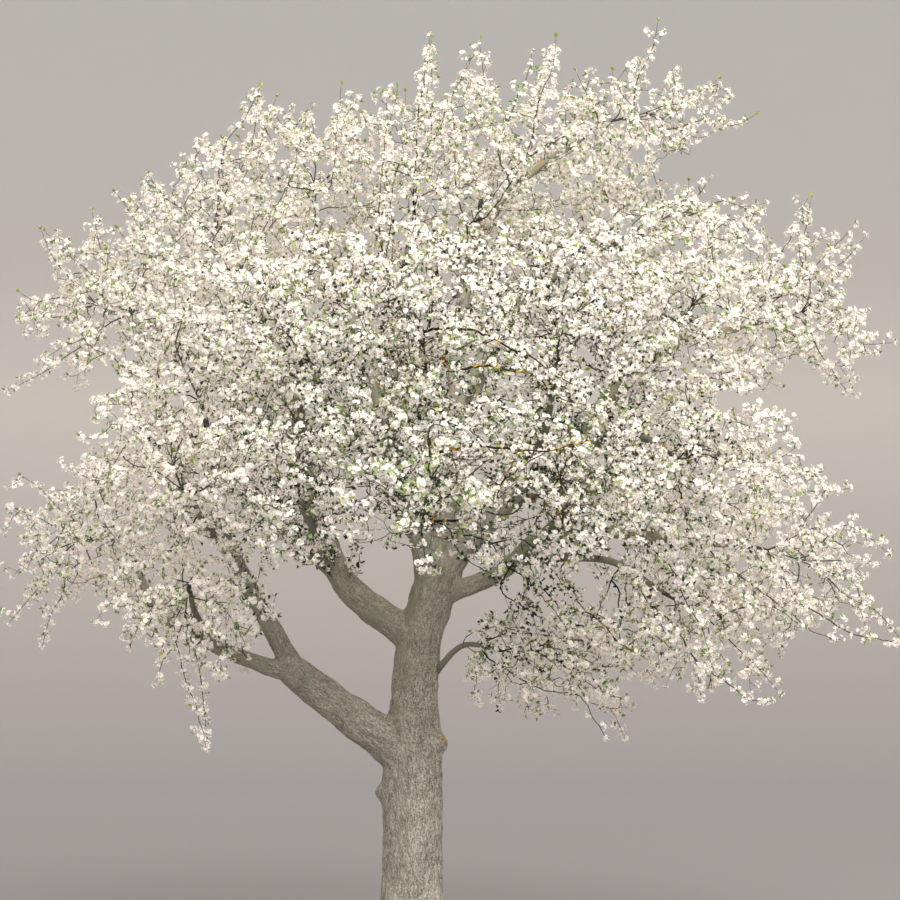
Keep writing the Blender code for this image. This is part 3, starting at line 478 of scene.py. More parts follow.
# Shoots that the photograph shows one by one. Each group has a region, two radii and the share in bloom, and
# each shoot the Y of its first and last place, then the X and height of every place, evenly spaced along Y
SEEN_SHOOTS = (
    (RIGHT, 0.008, 0.003, 0.55, (
        ((-0.18, -0.75), (0.62, 2.68), (0.71, 2.60), (0.87, 2.50), (1.06, 2.38), (1.22, 2.33), (1.44, 2.29),
         (1.65, 1.96)),
    )),
    (RIGHT, 0.009, 0.003, 0.45, (
        ((-0.16, -0.70), (0.62, 2.77), (0.75, 2.70), (1.10, 2.65), (1.32, 2.64), (1.43, 2.49), (1.63, 2.34),
         (1.80, 2.28)),
    )),
    (RIGHT, 0.005, 0.002, 0.9, (
        ((-0.15, -0.40), (0.46, 2.80), (0.52, 2.85), (0.63, 2.87), (0.75, 2.90), (0.94, 2.89)),
    )),
    (FRONT, 0.013, 0.005, 0.3, (
        ((-2.50, -2.70), (0.13, 3.58), (0.31, 3.80), (0.49, 3.98), (0.67, 4.15)),
        ((-2.50, -2.70), (0.49, 3.66), (0.64, 3.81), (0.75, 3.98), (0.86, 4.19)),
        ((-2.50, -2.70), (1.22, 3.64), (1.14, 3.87), (1.23, 4.09), (1.37, 4.27)),
    )),
    (FRONT, 0.009, 0.004, 0.4, (
        ((-2.50, -2.70), (0.79, 3.72), (0.94, 3.83), (1.09, 3.88), (1.26, 3.94)),
    )),
    (RIGHT, 0.005, 0.0022, 0.9, (
        ((-0.22, -0.35), (0.59, 2.52), (0.55, 2.34), (0.58, 2.24)),
        ((-0.25, -0.35), (0.76, 2.41), (0.75, 2.28), (0.77, 2.21)),
    )),
    (RIGHT, 0.009, 0.003, 0.45, (
        ((-0.60, -0.95), (1.69, 3.20), (1.60, 3.02), (1.54, 2.85)),
    )),
    (RIGHT, 0.009, 0.003, 0.4, (
        ((-0.60, -1.00), (1.79, 3.21), (1.78, 3.03), (1.78, 2.84), (1.73, 2.64)),
    )),
    (RIGHT, 0.009, 0.003, 0.5, (
        ((-0.60, -1.10), (1.85, 3.30), (1.85, 3.11), (1.91, 2.95), (2.10, 2.78), (2.23, 2.66)),
    )),
    (RIGHT, 0.009, 0.003, 0.6, (
        ((-0.62, -1.20), (1.91, 3.31), (2.00, 3.15), (2.08, 2.95), (2.19, 2.76)),
    )),
    (RIGHT, 0.011, 0.003, 0.6, (
        ((-1.00, -1.20), (2.18, 2.95), (2.34, 2.70), (2.44, 2.55), (2.70, 2.37), (2.83, 2.26),
         (3.01, 2.25)),
    )),
    (RIGHT, 0.006, 0.0022, 0.8, (
        ((-1.10, -1.20), (2.41, 2.56), (2.42, 2.39), (2.43, 2.28)),
    )),
    (RIGHT, 0.01, 0.003, 0.6, (
        ((-0.90, -1.00), (2.88, 3.25), (3.09, 3.10), (3.27, 2.95), (3.45, 2.82), (3.63, 2.77)),
    )),
    (RIGHT, 0.01, 0.003, 0.7, (
        ((-0.50, -0.50), (3.03, 3.44), (3.17, 3.29), (3.39, 3.10), (3.60, 2.97), (3.81, 2.84),
         (4.18, 2.76)),
    )),
    (RIGHT, 0.01, 0.003, 0.6, (
        ((-1.20, -1.60), (2.16, 3.39), (2.23, 3.24), (2.28, 3.07), (2.38, 2.89)),
    )),
    (RIGHT, 0.009, 0.003, 0.6, (
        ((-0.90, -1.30), (1.08, 3.18), (1.20, 3.04), (1.29, 2.89), (1.37, 2.72)),
        ((-0.90, -1.30), (1.44, 3.00), (1.53, 2.98), (1.63, 2.88), (1.73, 2.75), (1.86, 2.66)),
    )),
    (FRONT, 0.014, 0.005, 0.45, (
        ((-3.00, -3.20), (0.47, 5.12), (0.56, 5.06), (0.69, 4.98), (0.80, 4.90), (0.92, 4.85), (1.11, 4.71),
         (1.28, 4.61)),
    )),
    (FRONT, 0.015, 0.005, 0.35, (
        ((-3.00, -3.20), (0.25, 4.81), (0.39, 4.76), (0.54, 4.78), (0.81, 4.72), (0.99, 4.69), (1.09, 4.60),
         (1.24, 4.49), (1.44, 4.44)),
    )),
    (FRONT, 0.01, 0.004, 0.5, (
        ((-3.00, -3.20), (0.18, 4.31), (0.33, 4.33), (0.48, 4.30), (0.56, 4.23), (0.65, 4.12)),
    )),
    (FRONT, 0.017, 0.006, 0.35, (
        ((-3.00, -3.25), (0.25, 4.14), (0.54, 4.17), (0.81, 4.14), (1.07, 4.12), (1.21, 4.14),
         (1.39, 4.18)),
    )),
    (FRONT, 0.009, 0.003, 0.5, (
        ((-2.90, -3.10), (0.87, 4.01), (0.98, 4.08), (1.11, 4.17), (1.21, 4.25)),
    )),
    (TOP, 0.008, 0.0025, 0.9, (
        ((-0.70, -0.80), (-1.68, 7.01), (-1.64, 7.17), (-1.47, 7.38), (-1.33, 7.61)),
    )),
    (TOP, 0.006, 0.0022, 0.9, (
        ((-0.80, -0.80), (-1.36, 7.06), (-1.28, 7.29), (-1.19, 7.51)),
    )),
    (TOP, 0.007, 0.0022, 0.8, (
        ((-0.60, -0.70), (-1.09, 6.82), (-1.02, 7.10), (-0.96, 7.41)),
    )),
    (TOP, 0.008, 0.0022, 0.8, (
        ((-0.70, -0.80), (-0.73, 6.72), (-0.70, 7.08), (-0.66, 7.35), (-0.61, 7.65)),
    )),
    (TOP, 0.009, 0.0025, 0.8, (
        ((-0.80, -0.80), (-0.28, 6.18), (-0.27, 6.61), (-0.26, 6.96), (-0.20, 7.33), (-0.15, 7.63)),
    )),
    (TOP, 0.011, 0.0025, 0.8, (
        ((-0.90, -0.80), (0.00, 6.04), (0.02, 6.59), (0.05, 7.14), (0.05, 7.54), (0.12, 7.84),
         (0.17, 8.07)),
        ((-0.90, -0.80), (0.44, 6.13), (0.41, 6.68), (0.38, 7.14), (0.38, 7.49), (0.48, 7.84),
         (0.58, 8.07)),
    )),
    (TOP, 0.009, 0.0025, 0.9, (
        ((-0.70, -0.70), (0.67, 6.50), (0.88, 6.80), (1.02, 6.99), (1.30, 7.18), (1.57, 7.37)),
    )),
    (TOP, 0.008, 0.0025, 0.9, (
        ((-0.60, -0.60), (0.77, 7.11), (0.90, 7.47), (1.02, 7.79), (1.05, 8.00)),
        ((-0.50, -0.50), (1.04, 7.13), (1.14, 7.55), (1.23, 7.87), (1.28, 8.14)),
    )),
    (TOP, 0.007, 0.0035, 0.45, (
        ((-1.20, -1.30), (-0.95, 5.55), (-0.91, 5.73), (-0.87, 6.05), (-0.84, 6.37)),
        ((-1.20, -1.30), (-0.92, 5.68), (-1.03, 5.81), (-1.10, 5.96)),
        ((-1.10, -1.20), (-0.74, 6.00), (-0.72, 6.13), (-0.71, 6.29)),
        ((-1.30, -1.40), (-0.59, 5.63), (-0.56, 5.78), (-0.52, 6.02)),
        ((-1.30, -1.40), (-0.38, 5.63), (-0.37, 5.79), (-0.35, 5.96)),
        ((-1.30, -1.40), (-0.22, 5.63), (-0.24, 5.76), (-0.27, 6.02)),
        ((-1.20, -1.30), (-0.22, 5.98), (-0.19, 6.16), (-0.16, 6.58)),
        ((-1.30, -1.40), (-0.04, 5.72), (-0.01, 5.95), (0.02, 6.22), (0.06, 6.51)),
        ((-1.10, -1.20), (-0.28, 6.35), (-0.27, 6.48), (-0.25, 6.69)),
        ((-1.10, -1.20), (0.62, 6.47), (0.73, 6.57), (0.97, 6.82)),
        ((-1.20, -1.30), (1.58, 5.68), (1.71, 5.85), (1.89, 6.01)),
    )),
    (RIGHT, 0.008, 0.0025, 0.9, (
        ((-0.60, -0.60), (3.10, 5.85), (3.22, 6.16), (3.38, 6.40), (3.50, 6.67)),
        ((-0.40, -0.40), (3.35, 5.87), (3.58, 6.10), (3.77, 6.28), (3.92, 6.47)),
    )),
    (LEFT, 0.008, 0.0025, 0.9, (
        ((-0.50, -0.50), (-2.61, 5.78), (-2.84, 5.98), (-3.07, 6.18), (-3.26, 6.38)),
        ((-0.60, -0.60), (-2.32, 6.12), (-2.38, 6.37), (-2.52, 6.57), (-2.61, 6.70)),
    )),
    (LEFT, 0.009, 0.003, 0.5, (
        ((-0.90, -1.00), (-2.12, 3.45), (-2.05, 3.11), (-2.00, 2.77), (-1.91, 2.43), (-1.81, 2.18),
         (-1.73, 1.89)),
    )),
    (RIGHT, 0.009, 0.003, 0.8, (
        ((-0.40, -0.60), (0.77, 3.24), (0.94, 3.09), (1.11, 2.97), (1.28, 2.78)),
    )),
    (RIGHT, 0.009, 0.003, 0.7, (
        ((-0.45, -0.70), (1.03, 3.30), (1.20, 3.16), (1.33, 3.00), (1.53, 2.77)),
        ((-0.45, -0.70), (1.29, 3.35), (1.42, 3.16), (1.52, 2.95), (1.62, 2.69)),
    )),
    (RIGHT, 0.008, 0.003, 0.8, (
        ((-0.30, -0.50), (0.64, 2.79), (0.86, 2.84), (1.12, 2.83), (1.37, 2.78)),
        ((-0.30, -0.50), (0.77, 2.70), (1.03, 2.74), (1.29, 2.70), (1.55, 2.59)),
    )),
    (RIGHT, 0.007, 0.003, 0.8, (
        ((-0.60, -0.80), (1.54, 2.78), (1.75, 2.73), (1.96, 2.65), (2.14, 2.52)),
        ((-0.60, -0.80), (1.41, 2.91), (1.62, 2.88), (1.88, 2.86), (2.13, 2.77)),
    )),
    (FRONT, 0.008, 0.003, 0.9, (
        ((-0.60, -0.80), (0.31, 3.75), (0.37, 3.57), (0.54, 3.41), (0.72, 3.32)),
        ((-0.60, -0.80), (0.64, 3.64), (0.79, 3.47), (0.95, 3.34), (1.08, 3.18)),
        ((-0.60, -0.80), (0.96, 3.63), (1.11, 3.48), (1.24, 3.34), (1.34, 3.18)),
    )),
    (FRONT, 0.007, 0.003, 0.9, (
        ((-0.50, -0.70), (0.10, 3.65), (0.12, 3.50), (0.21, 3.38)),
    )),
)


def smooth_curve(points: Sequence[Sequence[float]], samples: int, heading: Array | None = None) -> Array:
    """Lays points evenly along a smooth curve through the given ones.

    Args:
        points: The places that the curve passes.
        samples: The number of steps between the first and the last point.
        heading: The direction in which the curve starts, if it is given.

    Returns:
        The points, one row each.
    """
    knots = [np.array(p, float) for p in points]
    before = 2 * knots[0] - knots[1]
    if heading is not None:
        before = knots[1] - 2 * np.linalg.norm(knots[1] - knots[0]) * heading
    after = 2 * knots[-1] - knots[-2]
    knots = [before, *knots, after]
    dense = []
    for a, b, c, d in zip(knots, knots[1:], knots[2:], knots[3:]):
        for t in np.linspace(0, 1, samples, endpoint=False):
            bend = (2 * a - 5 * b + 4 * c - d) * t**2 + (3 * b - a - 3 * c + d) * t**3
            dense.append(0.5 * (2 * b + (c - a) * t + bend))
    dense.append(knots[-2])
    dense = np.array(dense)
    along = distances_along(dense)
    return read_rows(dense, along, np.linspace(0, along[-1], samples + 1))


def unit(vector: Array) -> Array:
    """The vector at length one."""
    return vector / max(np.linalg.norm(vector), 1e-9)


def distances_along(points: Array) -> Array:
    """How far along a line each of its points lies."""
    return np.concatenate([[0], np.cumsum(np.linalg.norm(np.diff(points, axis=0), axis=1))])


def read_rows(rows: Array, along: Array, distances: Array | float) -> Array:
    """The value of a table of vectors, given at distances along a line, at other distances along it."""
    return np.stack([np.interp(distances, along, rows[:, k]) for k in range(3)], axis=-1)


def bearings_of(sides: int) -> Array:
    """Evenly spaced angles around a circle."""
    return np.arange(sides) * 2 * math.pi / sides


def circle(turns: Array, first: Array, second: Array) -> Array:
    """Directions turned by the given angles from the first axis towards the second."""
    return np.cos(turns)[..., None] * first + np.sin(turns)[..., None] * second


def units(rows: Array) -> Array:
    """Each row at length one."""
    return rows / np.maximum(np.linalg.norm(rows, axis=-1, keepdims=True), 1e-9)


class Path:
    """A limb's centre line, with its frame and radius at any distance along it."""

    def __init__(
        self,
        points: Sequence[Sequence[float]],
        foot_radius: float,
        tip_radius: float,
        swell: float = 0.0,
        heading: Array | None = None,
    ) -> None:
        """Lays the line through its points.

        Args:
            points: The places that it passes.
            foot_radius: Its radius where it starts.
            tip_radius: Its radius at its tip.
            swell: How far the collar at its foot swells.
            heading: The direction in which it starts, if it is given.
        """
        self.points = smooth_curve(points, CURVE_SAMPLES, heading)
        self.along = distances_along(self.points)
        self.length = self.along[-1]
        self.tangents = np.array([unit(v) for v in np.gradient(self.points, self.along, axis=0)])
        if heading is not None:
            self.tangents[0] = heading
        self.foot_radius = foot_radius
        self.tip_radius = tip_radius
        self.swell = swell
        side = unit(np.cross(self.tangents[0], (0.3, 1.0, 0.1)))
        normals = []
        for tangent in self.tangents:
            side = unit(side - tangent * (side @ tangent))
            normals.append(side)
        self.normals = np.array(normals)

    def at(self, distance: float) -> tuple[Array, Array, Array]:
        """Reads the line at a distance along it, past its end too.

        Args:
            distance: How far from its start.

        Returns:
            The point, the tangent and the normal there.
        """
        inside = min(max(distance, 0.0), self.length)
        tangent = unit(read_rows(self.tangents, self.along, inside))
        point = read_rows(self.points, self.along, inside) + tangent * (distance - inside)
        normal = read_rows(self.normals, self.along, inside)
        return point, tangent, unit(normal - tangent * (normal @ tangent))

    def radius(self, distance: float) -> float:
        """The radius there, with the swell of the collar near the foot."""
        share = min(max(distance / self.length, 0.0), 1.0)
        plain = self.foot_radius + (self.tip_radius - self.foot_radius) * share
        return plain * (1 + self.swell * math.exp(-max(distance, 0.0) / COLLAR_FADE))

    def ring(self, distance: float, sides: int) -> Array:
        """The corners of the limb's outline at a distance along it."""
        point, tangent, normal = self.at(distance)
        return point + self.radius(distance) * circle(bearings_of(sides), normal, np.cross(tangent, normal))


def ends_in_fork(name: str) -> bool:
    """True for the trunk and for a limb that forks at its tip and carries no mass of its own."""
    return all(mass.bough != name for mass in MASSES)


def trunk_radius(heights: Array | float) -> Array:
    """The trunk's plain radius at a height above ground."""
    levels = np.array(TRUNK_LEVELS)
    return np.interp(heights, levels[:, 0], levels[:, 3])


def build_skeleton() -> dict[str, Path]:
    """The centre line of the trunk and of each limb, by name."""
    paths = {"trunk": Path([(x, y, z) for z, x, y, _ in TRUNK_LEVELS], 1.0, 1.0)}
    for limb in LIMBS:
        parent = paths[limb.parent]
        distance = limb.leaves_at * parent.length
        if limb.parent == "trunk":
            distance = np.interp(limb.leaves_at, parent.points[:, 2], parent.along)
        points = [parent.at(distance)[0], *limb.knees, limb.tip]
        paths[limb.name] = Path(points, limb.foot_radius, limb.tip_radius, COLLAR_SWELL)
    return paths


def stem_of(mass: Mass, paths: dict[str, Path]) -> Path:
    """Draws a mass's stem, from its bough's tip to the middle of its space.

    Args:
        mass: The mass of blossom.
        paths: The centre lines of all limbs.

    Returns:
        The stem's line.
    """
    bough = paths[mass.bough]
    end, tangent, _ = bough.at(bough.length)
    foot = end + tangent * GAP
    centre = np.array(mass.centre)
    bend = foot + tangent * np.linalg.norm(centre - foot) * STEM_BEND_AT
    return Path([foot, bend, centre], bough.tip_radius * STEM_FOOT_SHARE, STEM_TIP_RADIUS, heading=tangent)


class Obstacles:
    """The limbs and stems that twigs and sprays keep clear of, as short thick lines."""

    def __init__(self, lines: Sequence[tuple[str, Array, Array]]) -> None:
        """Cuts each line into its short pieces.

        Args:
            lines: The owner's name, the points and the radius at each, for every line.
        """
        self.owners = np.array([owner for owner, points, _ in lines for _ in points[1:]])
        self.starts = np.concatenate([points[:-1] for _, points, _ in lines])
        self.ends = np.concatenate([points[1:] for _, points, _ in lines])
        self.radii = np.concatenate([radii[:-1] for _, _, radii in lines])

    def clear(self, owner: str, start: Array, end: Array, radius: float) -> bool:
        """Tells whether a thick line keeps clear of all that isn't its owner's.

        Args:
            owner: The name of the mass that the line belongs to.
            start: Its first point.
            end: Its last point.
            radius: Its radius.

        Returns:
            True if it touches nothing.
        """
        others = self.owners != owner
        starts, runs, radii = self.starts[others], (self.ends - self.starts)[others], self.radii[others]
        lengths = np.maximum((runs**2).sum(axis=1), 1e-12)
        for share in np.linspace(0, 1, 7):
            point = start + (end - start) * share
            along = np.clip(((point - starts) * runs).sum(axis=1) / lengths, 0, 1)
            away = np.linalg.norm(starts + runs * along[:, None] - point, axis=1)
            if (away < radii + radius + LIMB_MARGIN).any():
                return False
        return True


def line_up_obstacles(paths: dict[str, Path], stems: dict[str, Path]) -> Obstacles:
    """Gathers the limbs, past their rounded forks, and the stems.

    Args:
        paths: The centre lines of the trunk and limbs.
        stems: The stem of each mass.

    Returns:
        All of them as obstacles.
    """
    lines = []
    for name, path in paths.items():
        points, radii = path.points, np.array([path.radius(s) for s in path.along])
        if name == "trunk":
            radii = trunk_radius(points[:, 2])
        if ends_in_fork(name):
            end, tangent, _ = path.at(path.length)
            points = np.array([*points, *(end + tangent * beyond for beyond, _ in FORK_END)])
            radii = np.array([*radii, *(radii[-1] * scale for _, scale in FORK_END)])
        lines.append((name, points, radii))
    for name, stem in stems.items():
        lines.append((name, stem.points, np.array([stem.radius(s) for s in stem.along])))
    return Obstacles(lines)


class Space:
    """The room of one mass: the half spaces that part it from its neighbours, and its ellipsoid."""

    def __init__(self, mass: Mass) -> None:
        """Sets the half spaces so that a larger neighbour takes the larger share."""
        self.centre = np.array(mass.centre)
        self.radii = np.array(mass.radii)
        normals, limits = [], []
        size = (self.radii**2).mean()
        for other in MASSES:
            if other.name != mass.name:
                away = np.array(other.centre) - self.centre
                distance = np.linalg.norm(away)
                other_size = (np.array(other.radii) ** 2).mean()
                normals.append(away / distance)
                limits.append((distance**2 + size - other_size) / (2 * distance))
        self.normals = np.array(normals)
        self.limits = np.array(limits)

    def in_cell(self, point: Array, radius: float) -> bool:
        """True if a ball there stays on this mass's side of its neighbours."""
        return bool((self.normals @ (point - self.centre) < self.limits - radius - CELL_MARGIN).all())

    def holds(self, point: Array, radius: float) -> bool:
        """True if a ball there stays in the cell and its middle in the ellipsoid."""
        inside = (((point - self.centre) / self.radii) ** 2).sum() <= 1.0
        return bool(inside) and self.in_cell(point, radius)

    def rows_in_cell(self, points: Array, overlap: float) -> Array:
        """True for each point on this mass's side, or past it by no more than the overlap."""
        return ((points - self.centre) @ self.normals.T < self.limits + overlap).all(axis=1)


def random_direction(chance: random.Random) -> Array:
    """A direction picked evenly over the sphere."""
    while True:
        vector = np.array([chance.uniform(-1, 1) for _ in range(3)])
        if 0.01 < vector @ vector < 1:
            return unit(vector)


def lines_apart(start: Array, end: Array, other_start: Array, other_end: Array) -> float:
    """About how far apart two short lines are."""
    shares = np.linspace(0, 1, 6)[:, None]
    mine = start + (end - start) * shares
    theirs = other_start + (other_end - other_start) * shares
    return np.linalg.norm(mine[:, None] - theirs[None, :], axis=2).min()


Spray = tuple[Array, Array, float]


@dataclass
class MassRule:
    """The source's rule for one mass: where its sprays stand, and what carries each of them."""

    mass: Mass
    stem: Path
    space: Space
    obstacles: Obstacles
    chance: random.Random

    def offer_spray(self, others: list[Spray]) -> Spray | None:
        """Draws a spray at a random place in the space and shrinks it until it fits.

        Args:
            others: The sprays that stand already.

        Returns:
            The spray's root, tip and half width, or None.
        """
        chance, space = self.chance, self.space
        shell = math.sqrt(chance.uniform(*SPRAY_SHELL)) * SPRAY_REACH
        middle = space.centre + space.radii * random_direction(chance) * shell
        outward = unit((middle - space.centre) / space.radii)
        heading = unit(outward + np.array(self.mass.habit.value) + SPRAY_WANDER * random_direction(chance))
        full_length = chance.uniform(*SPRAY_LENGTH)
        full_width = SPRAY_WIDTH * chance.uniform(*SPRAY_WIDTH_SPREAD)
        for shrink in SPRAY_SHRINKS:
            width = full_width * shrink
            root = middle - 0.5 * full_length * shrink * heading
            tip = middle + 0.5 * full_length * shrink * heading
            girth = root + SPRAY_GIRTH_AT * (tip - root)
            fits = space.holds(tip, 0.0) and space.in_cell(girth, width) and space.in_cell(root, 0.0)
            apart = fits and all(
                lines_apart(root, tip, low, high) > SPRAY_SPACING * (width + other_width)
                for low, high, other_width in others
            )
            if apart and self.obstacles.clear(self.mass.name, root, tip, width):
                return root, tip, width
        return None

    def choose_sprays(self) -> list[Spray]:
        """The sprays that the mass is to carry: its long shoots, then those that fill its space evenly."""
        foot = self.stem.points[0]
        wanted: list[Spray] = []
        for place in self.mass.tips:
            tip = np.array(place)
            outward = unit(tip - self.space.centre) + SHOOT_FROM_FOOT * unit(tip - foot)
            heading = unit(outward + SHOOT_HABIT * np.array(self.mass.habit.value))
            wanted.append((tip - SHOOT_LENGTH * heading, tip, SHOOT_WIDTH))

        def alone(spray: Spray) -> float:
            """How far a spray's middle is from the nearest of the others' middles."""
            middle = 0.5 * (spray[0] + spray[1])
            return min([np.linalg.norm(middle - 0.5 * (a + b)) for a, b, _ in wanted], default=1.0)

        for _ in range(SPRAYS_PER_MASS - len(wanted)):
            offers = [self.offer_spray(wanted) for _ in range(OFFERS)]
            offers = [offer for offer in offers if offer is not None]
            if offers:
                wanted.append(max(offers, key=alone))
        return sorted(wanted, key=lambda spray: np.linalg.norm(spray[0] - foot))

    def find_seat(self, spray: Spray, nodes: list[tuple], others: list[Spray]) -> Array | None:
        """Looks on the twigs near a spray's root for a place from which it reaches its tip.

        Args:
            spray: The spray.
            nodes: The point, heading and path length of each place on a twig.
            others: The mass's other sprays.

        Returns:
            The place, or None.
        """
        root, tip, width = spray
        near = sorted((np.linalg.norm(point - root), k) for k, (point, _, _) in enumerate(nodes))
        for distance, k in near[:SEATS_TRIED]:
            point, heading, _ = nodes[k]
            leans_on = unit(tip - point) @ heading > SEAT_LEAN
            outer = point + SEAT_CLEAR_FROM * (tip - point)
            apart = all(
                lines_apart(outer, tip, low, high) > width + SEAT_CLEARANCE * size
                for low, high, size in others
            )
            if distance < SPRAY_SEAT and leans_on and apart:
                return point
        return None

    def find_foot(self, spray: Spray, nodes: list[tuple], others: list[Spray]) -> int | None:
        """Finds the node from which a twig reaches a spray at the least cost.

        Args:
            spray: The spray.
            nodes: The point, heading and path length of each place on a twig.
            others: The mass's other sprays.

        Returns:
            The node's index, or None.
        """
        root, tip, _ = spray
        end = root + SPRAY_SUNK * (tip - root)
        options = []
        for index, (point, heading, path_length) in enumerate(nodes):
            distance = np.linalg.norm(end - point)
            if distance > TWIG_SHORTEST:
                turn = TURN_COST if unit(end - point) @ heading < SHARP_TURN else 0.0
                options.append((distance + PATH_COST * path_length + turn, index))
        ranked = []
        for cost, index in sorted(options)[:FEET_TRIED]:
            point = nodes[index][0]
            clear = self.obstacles.clear(self.mass.name, point, end, TWIG_RADIUS)
            if clear and self.space.in_cell(end, TWIG_RADIUS):
                crossed = sum(
                    lines_apart(point, root, low, high) < CROSSING_WITHIN * size for low, high, size in others
                )
                ranked.append((cost + CROSSING_COST * crossed, index))
        return min(ranked)[1] if ranked else None

    def grow(self) -> list[tuple[Array, ...]]:
        """The line of each spray of the solid: its foot, its root where a twig leads to it, and its tip."""
        nodes = []
        for share in STEM_NODES_AT:
            point, tangent, _ = self.stem.at(share * self.stem.length)
            nodes.append((point, tangent, share * self.stem.length))
        wanted = self.choose_sprays()
        lines: list[tuple[Array, ...]] = []
        for spray in wanted:
            root, tip, width = spray
            others = [other for other in wanted if other is not spray]
            seat = self.find_seat(spray, nodes, others)
            if seat is not None and self.obstacles.clear(self.mass.name, seat, tip, width):
                lines.append((seat, tip))
                continue
            index = self.find_foot(spray, nodes, others)
            if index is not None:
                point, _, path_length = nodes[index]
                run = root + SPRAY_SUNK * (tip - root) - point
                lines.append((point, point + run, tip))
                for share in TWIG_NODES_AT:
                    reach = path_length + share * np.linalg.norm(run)
                    nodes.append((point + share * run, unit(run), reach))
        return lines


class FrontView:
    """The crown's outline and the gaps in it, as the camera sees them."""

    def __init__(self) -> None:
        """Lays out the edges of the outline."""
        self.starts = np.array(CROWN_OUTLINE)
        self.ends = np.roll(self.starts, -1, axis=0)

    def on_plane(self, places: Array) -> Array:
        """Where the camera sees each place on the plane through the trunk: rows of X and of heights."""
        share = (-CAMERA_AT[1] / (places[:, 1] - CAMERA_AT[1]))[:, None]
        eye = np.array((CAMERA_AT[0], CAMERA_AT[2]))
        return (eye + (places[:, (0, 2)] - eye) * share).T

    def in_ovals(self, x: Array, z: Array, ovals: Sequence[tuple[float, float, float, float]]) -> Array:
        """Tells which places of the front view lie in one of several ovals."""
        inside = np.zeros(len(x), dtype=bool)
        for at_x, at_z, half_width, half_height in ovals:
            inside |= ((x - at_x) / half_width) ** 2 + ((z - at_z) / half_height) ** 2 < 1
        return inside

    def before_wood(self, places: Array) -> Array:
        """Tells which places stand before one of the windows through which the wood shows."""
        return self.in_ovals(*self.on_plane(places), WOOD_WINDOWS) & (places[:, 1] < 0)

    def holds(self, places: Array) -> Array:
        """Tells which places lie in the crown as the camera sees it.

        Args:
            places: The places, one row each.

        Returns:
            True for each one inside the outline and outside the gaps.
        """
        x, z = self.on_plane(places)
        (x1, z1), (x2, z2) = self.starts.T[:, :, None], self.ends.T[:, :, None]
        spans = (z1 > z) != (z2 > z)
        crossed = x < x1 + (z - z1) * (x2 - x1) / np.where(z2 == z1, 1e-9, z2 - z1)
        inside = (spans & crossed).sum(axis=0) % 2 == 1
        inside &= ~self.in_ovals(x, z, SKY_PATCHES)
        near, far = CAD_BOX[0][1] - DEPTH_MARGIN, CAD_BOX[1][1] + DEPTH_MARGIN
        return inside & (places[:, 1] > near) & (places[:, 1] < far)


@dataclass
class Shoot:
    """A twig: the points of its line, its radii, whether it is a long wand, and the share of it in bloom."""

    points: Array
    foot_radius: float
    tip_radius: float
    wand: bool
    bloom: float = 1.0


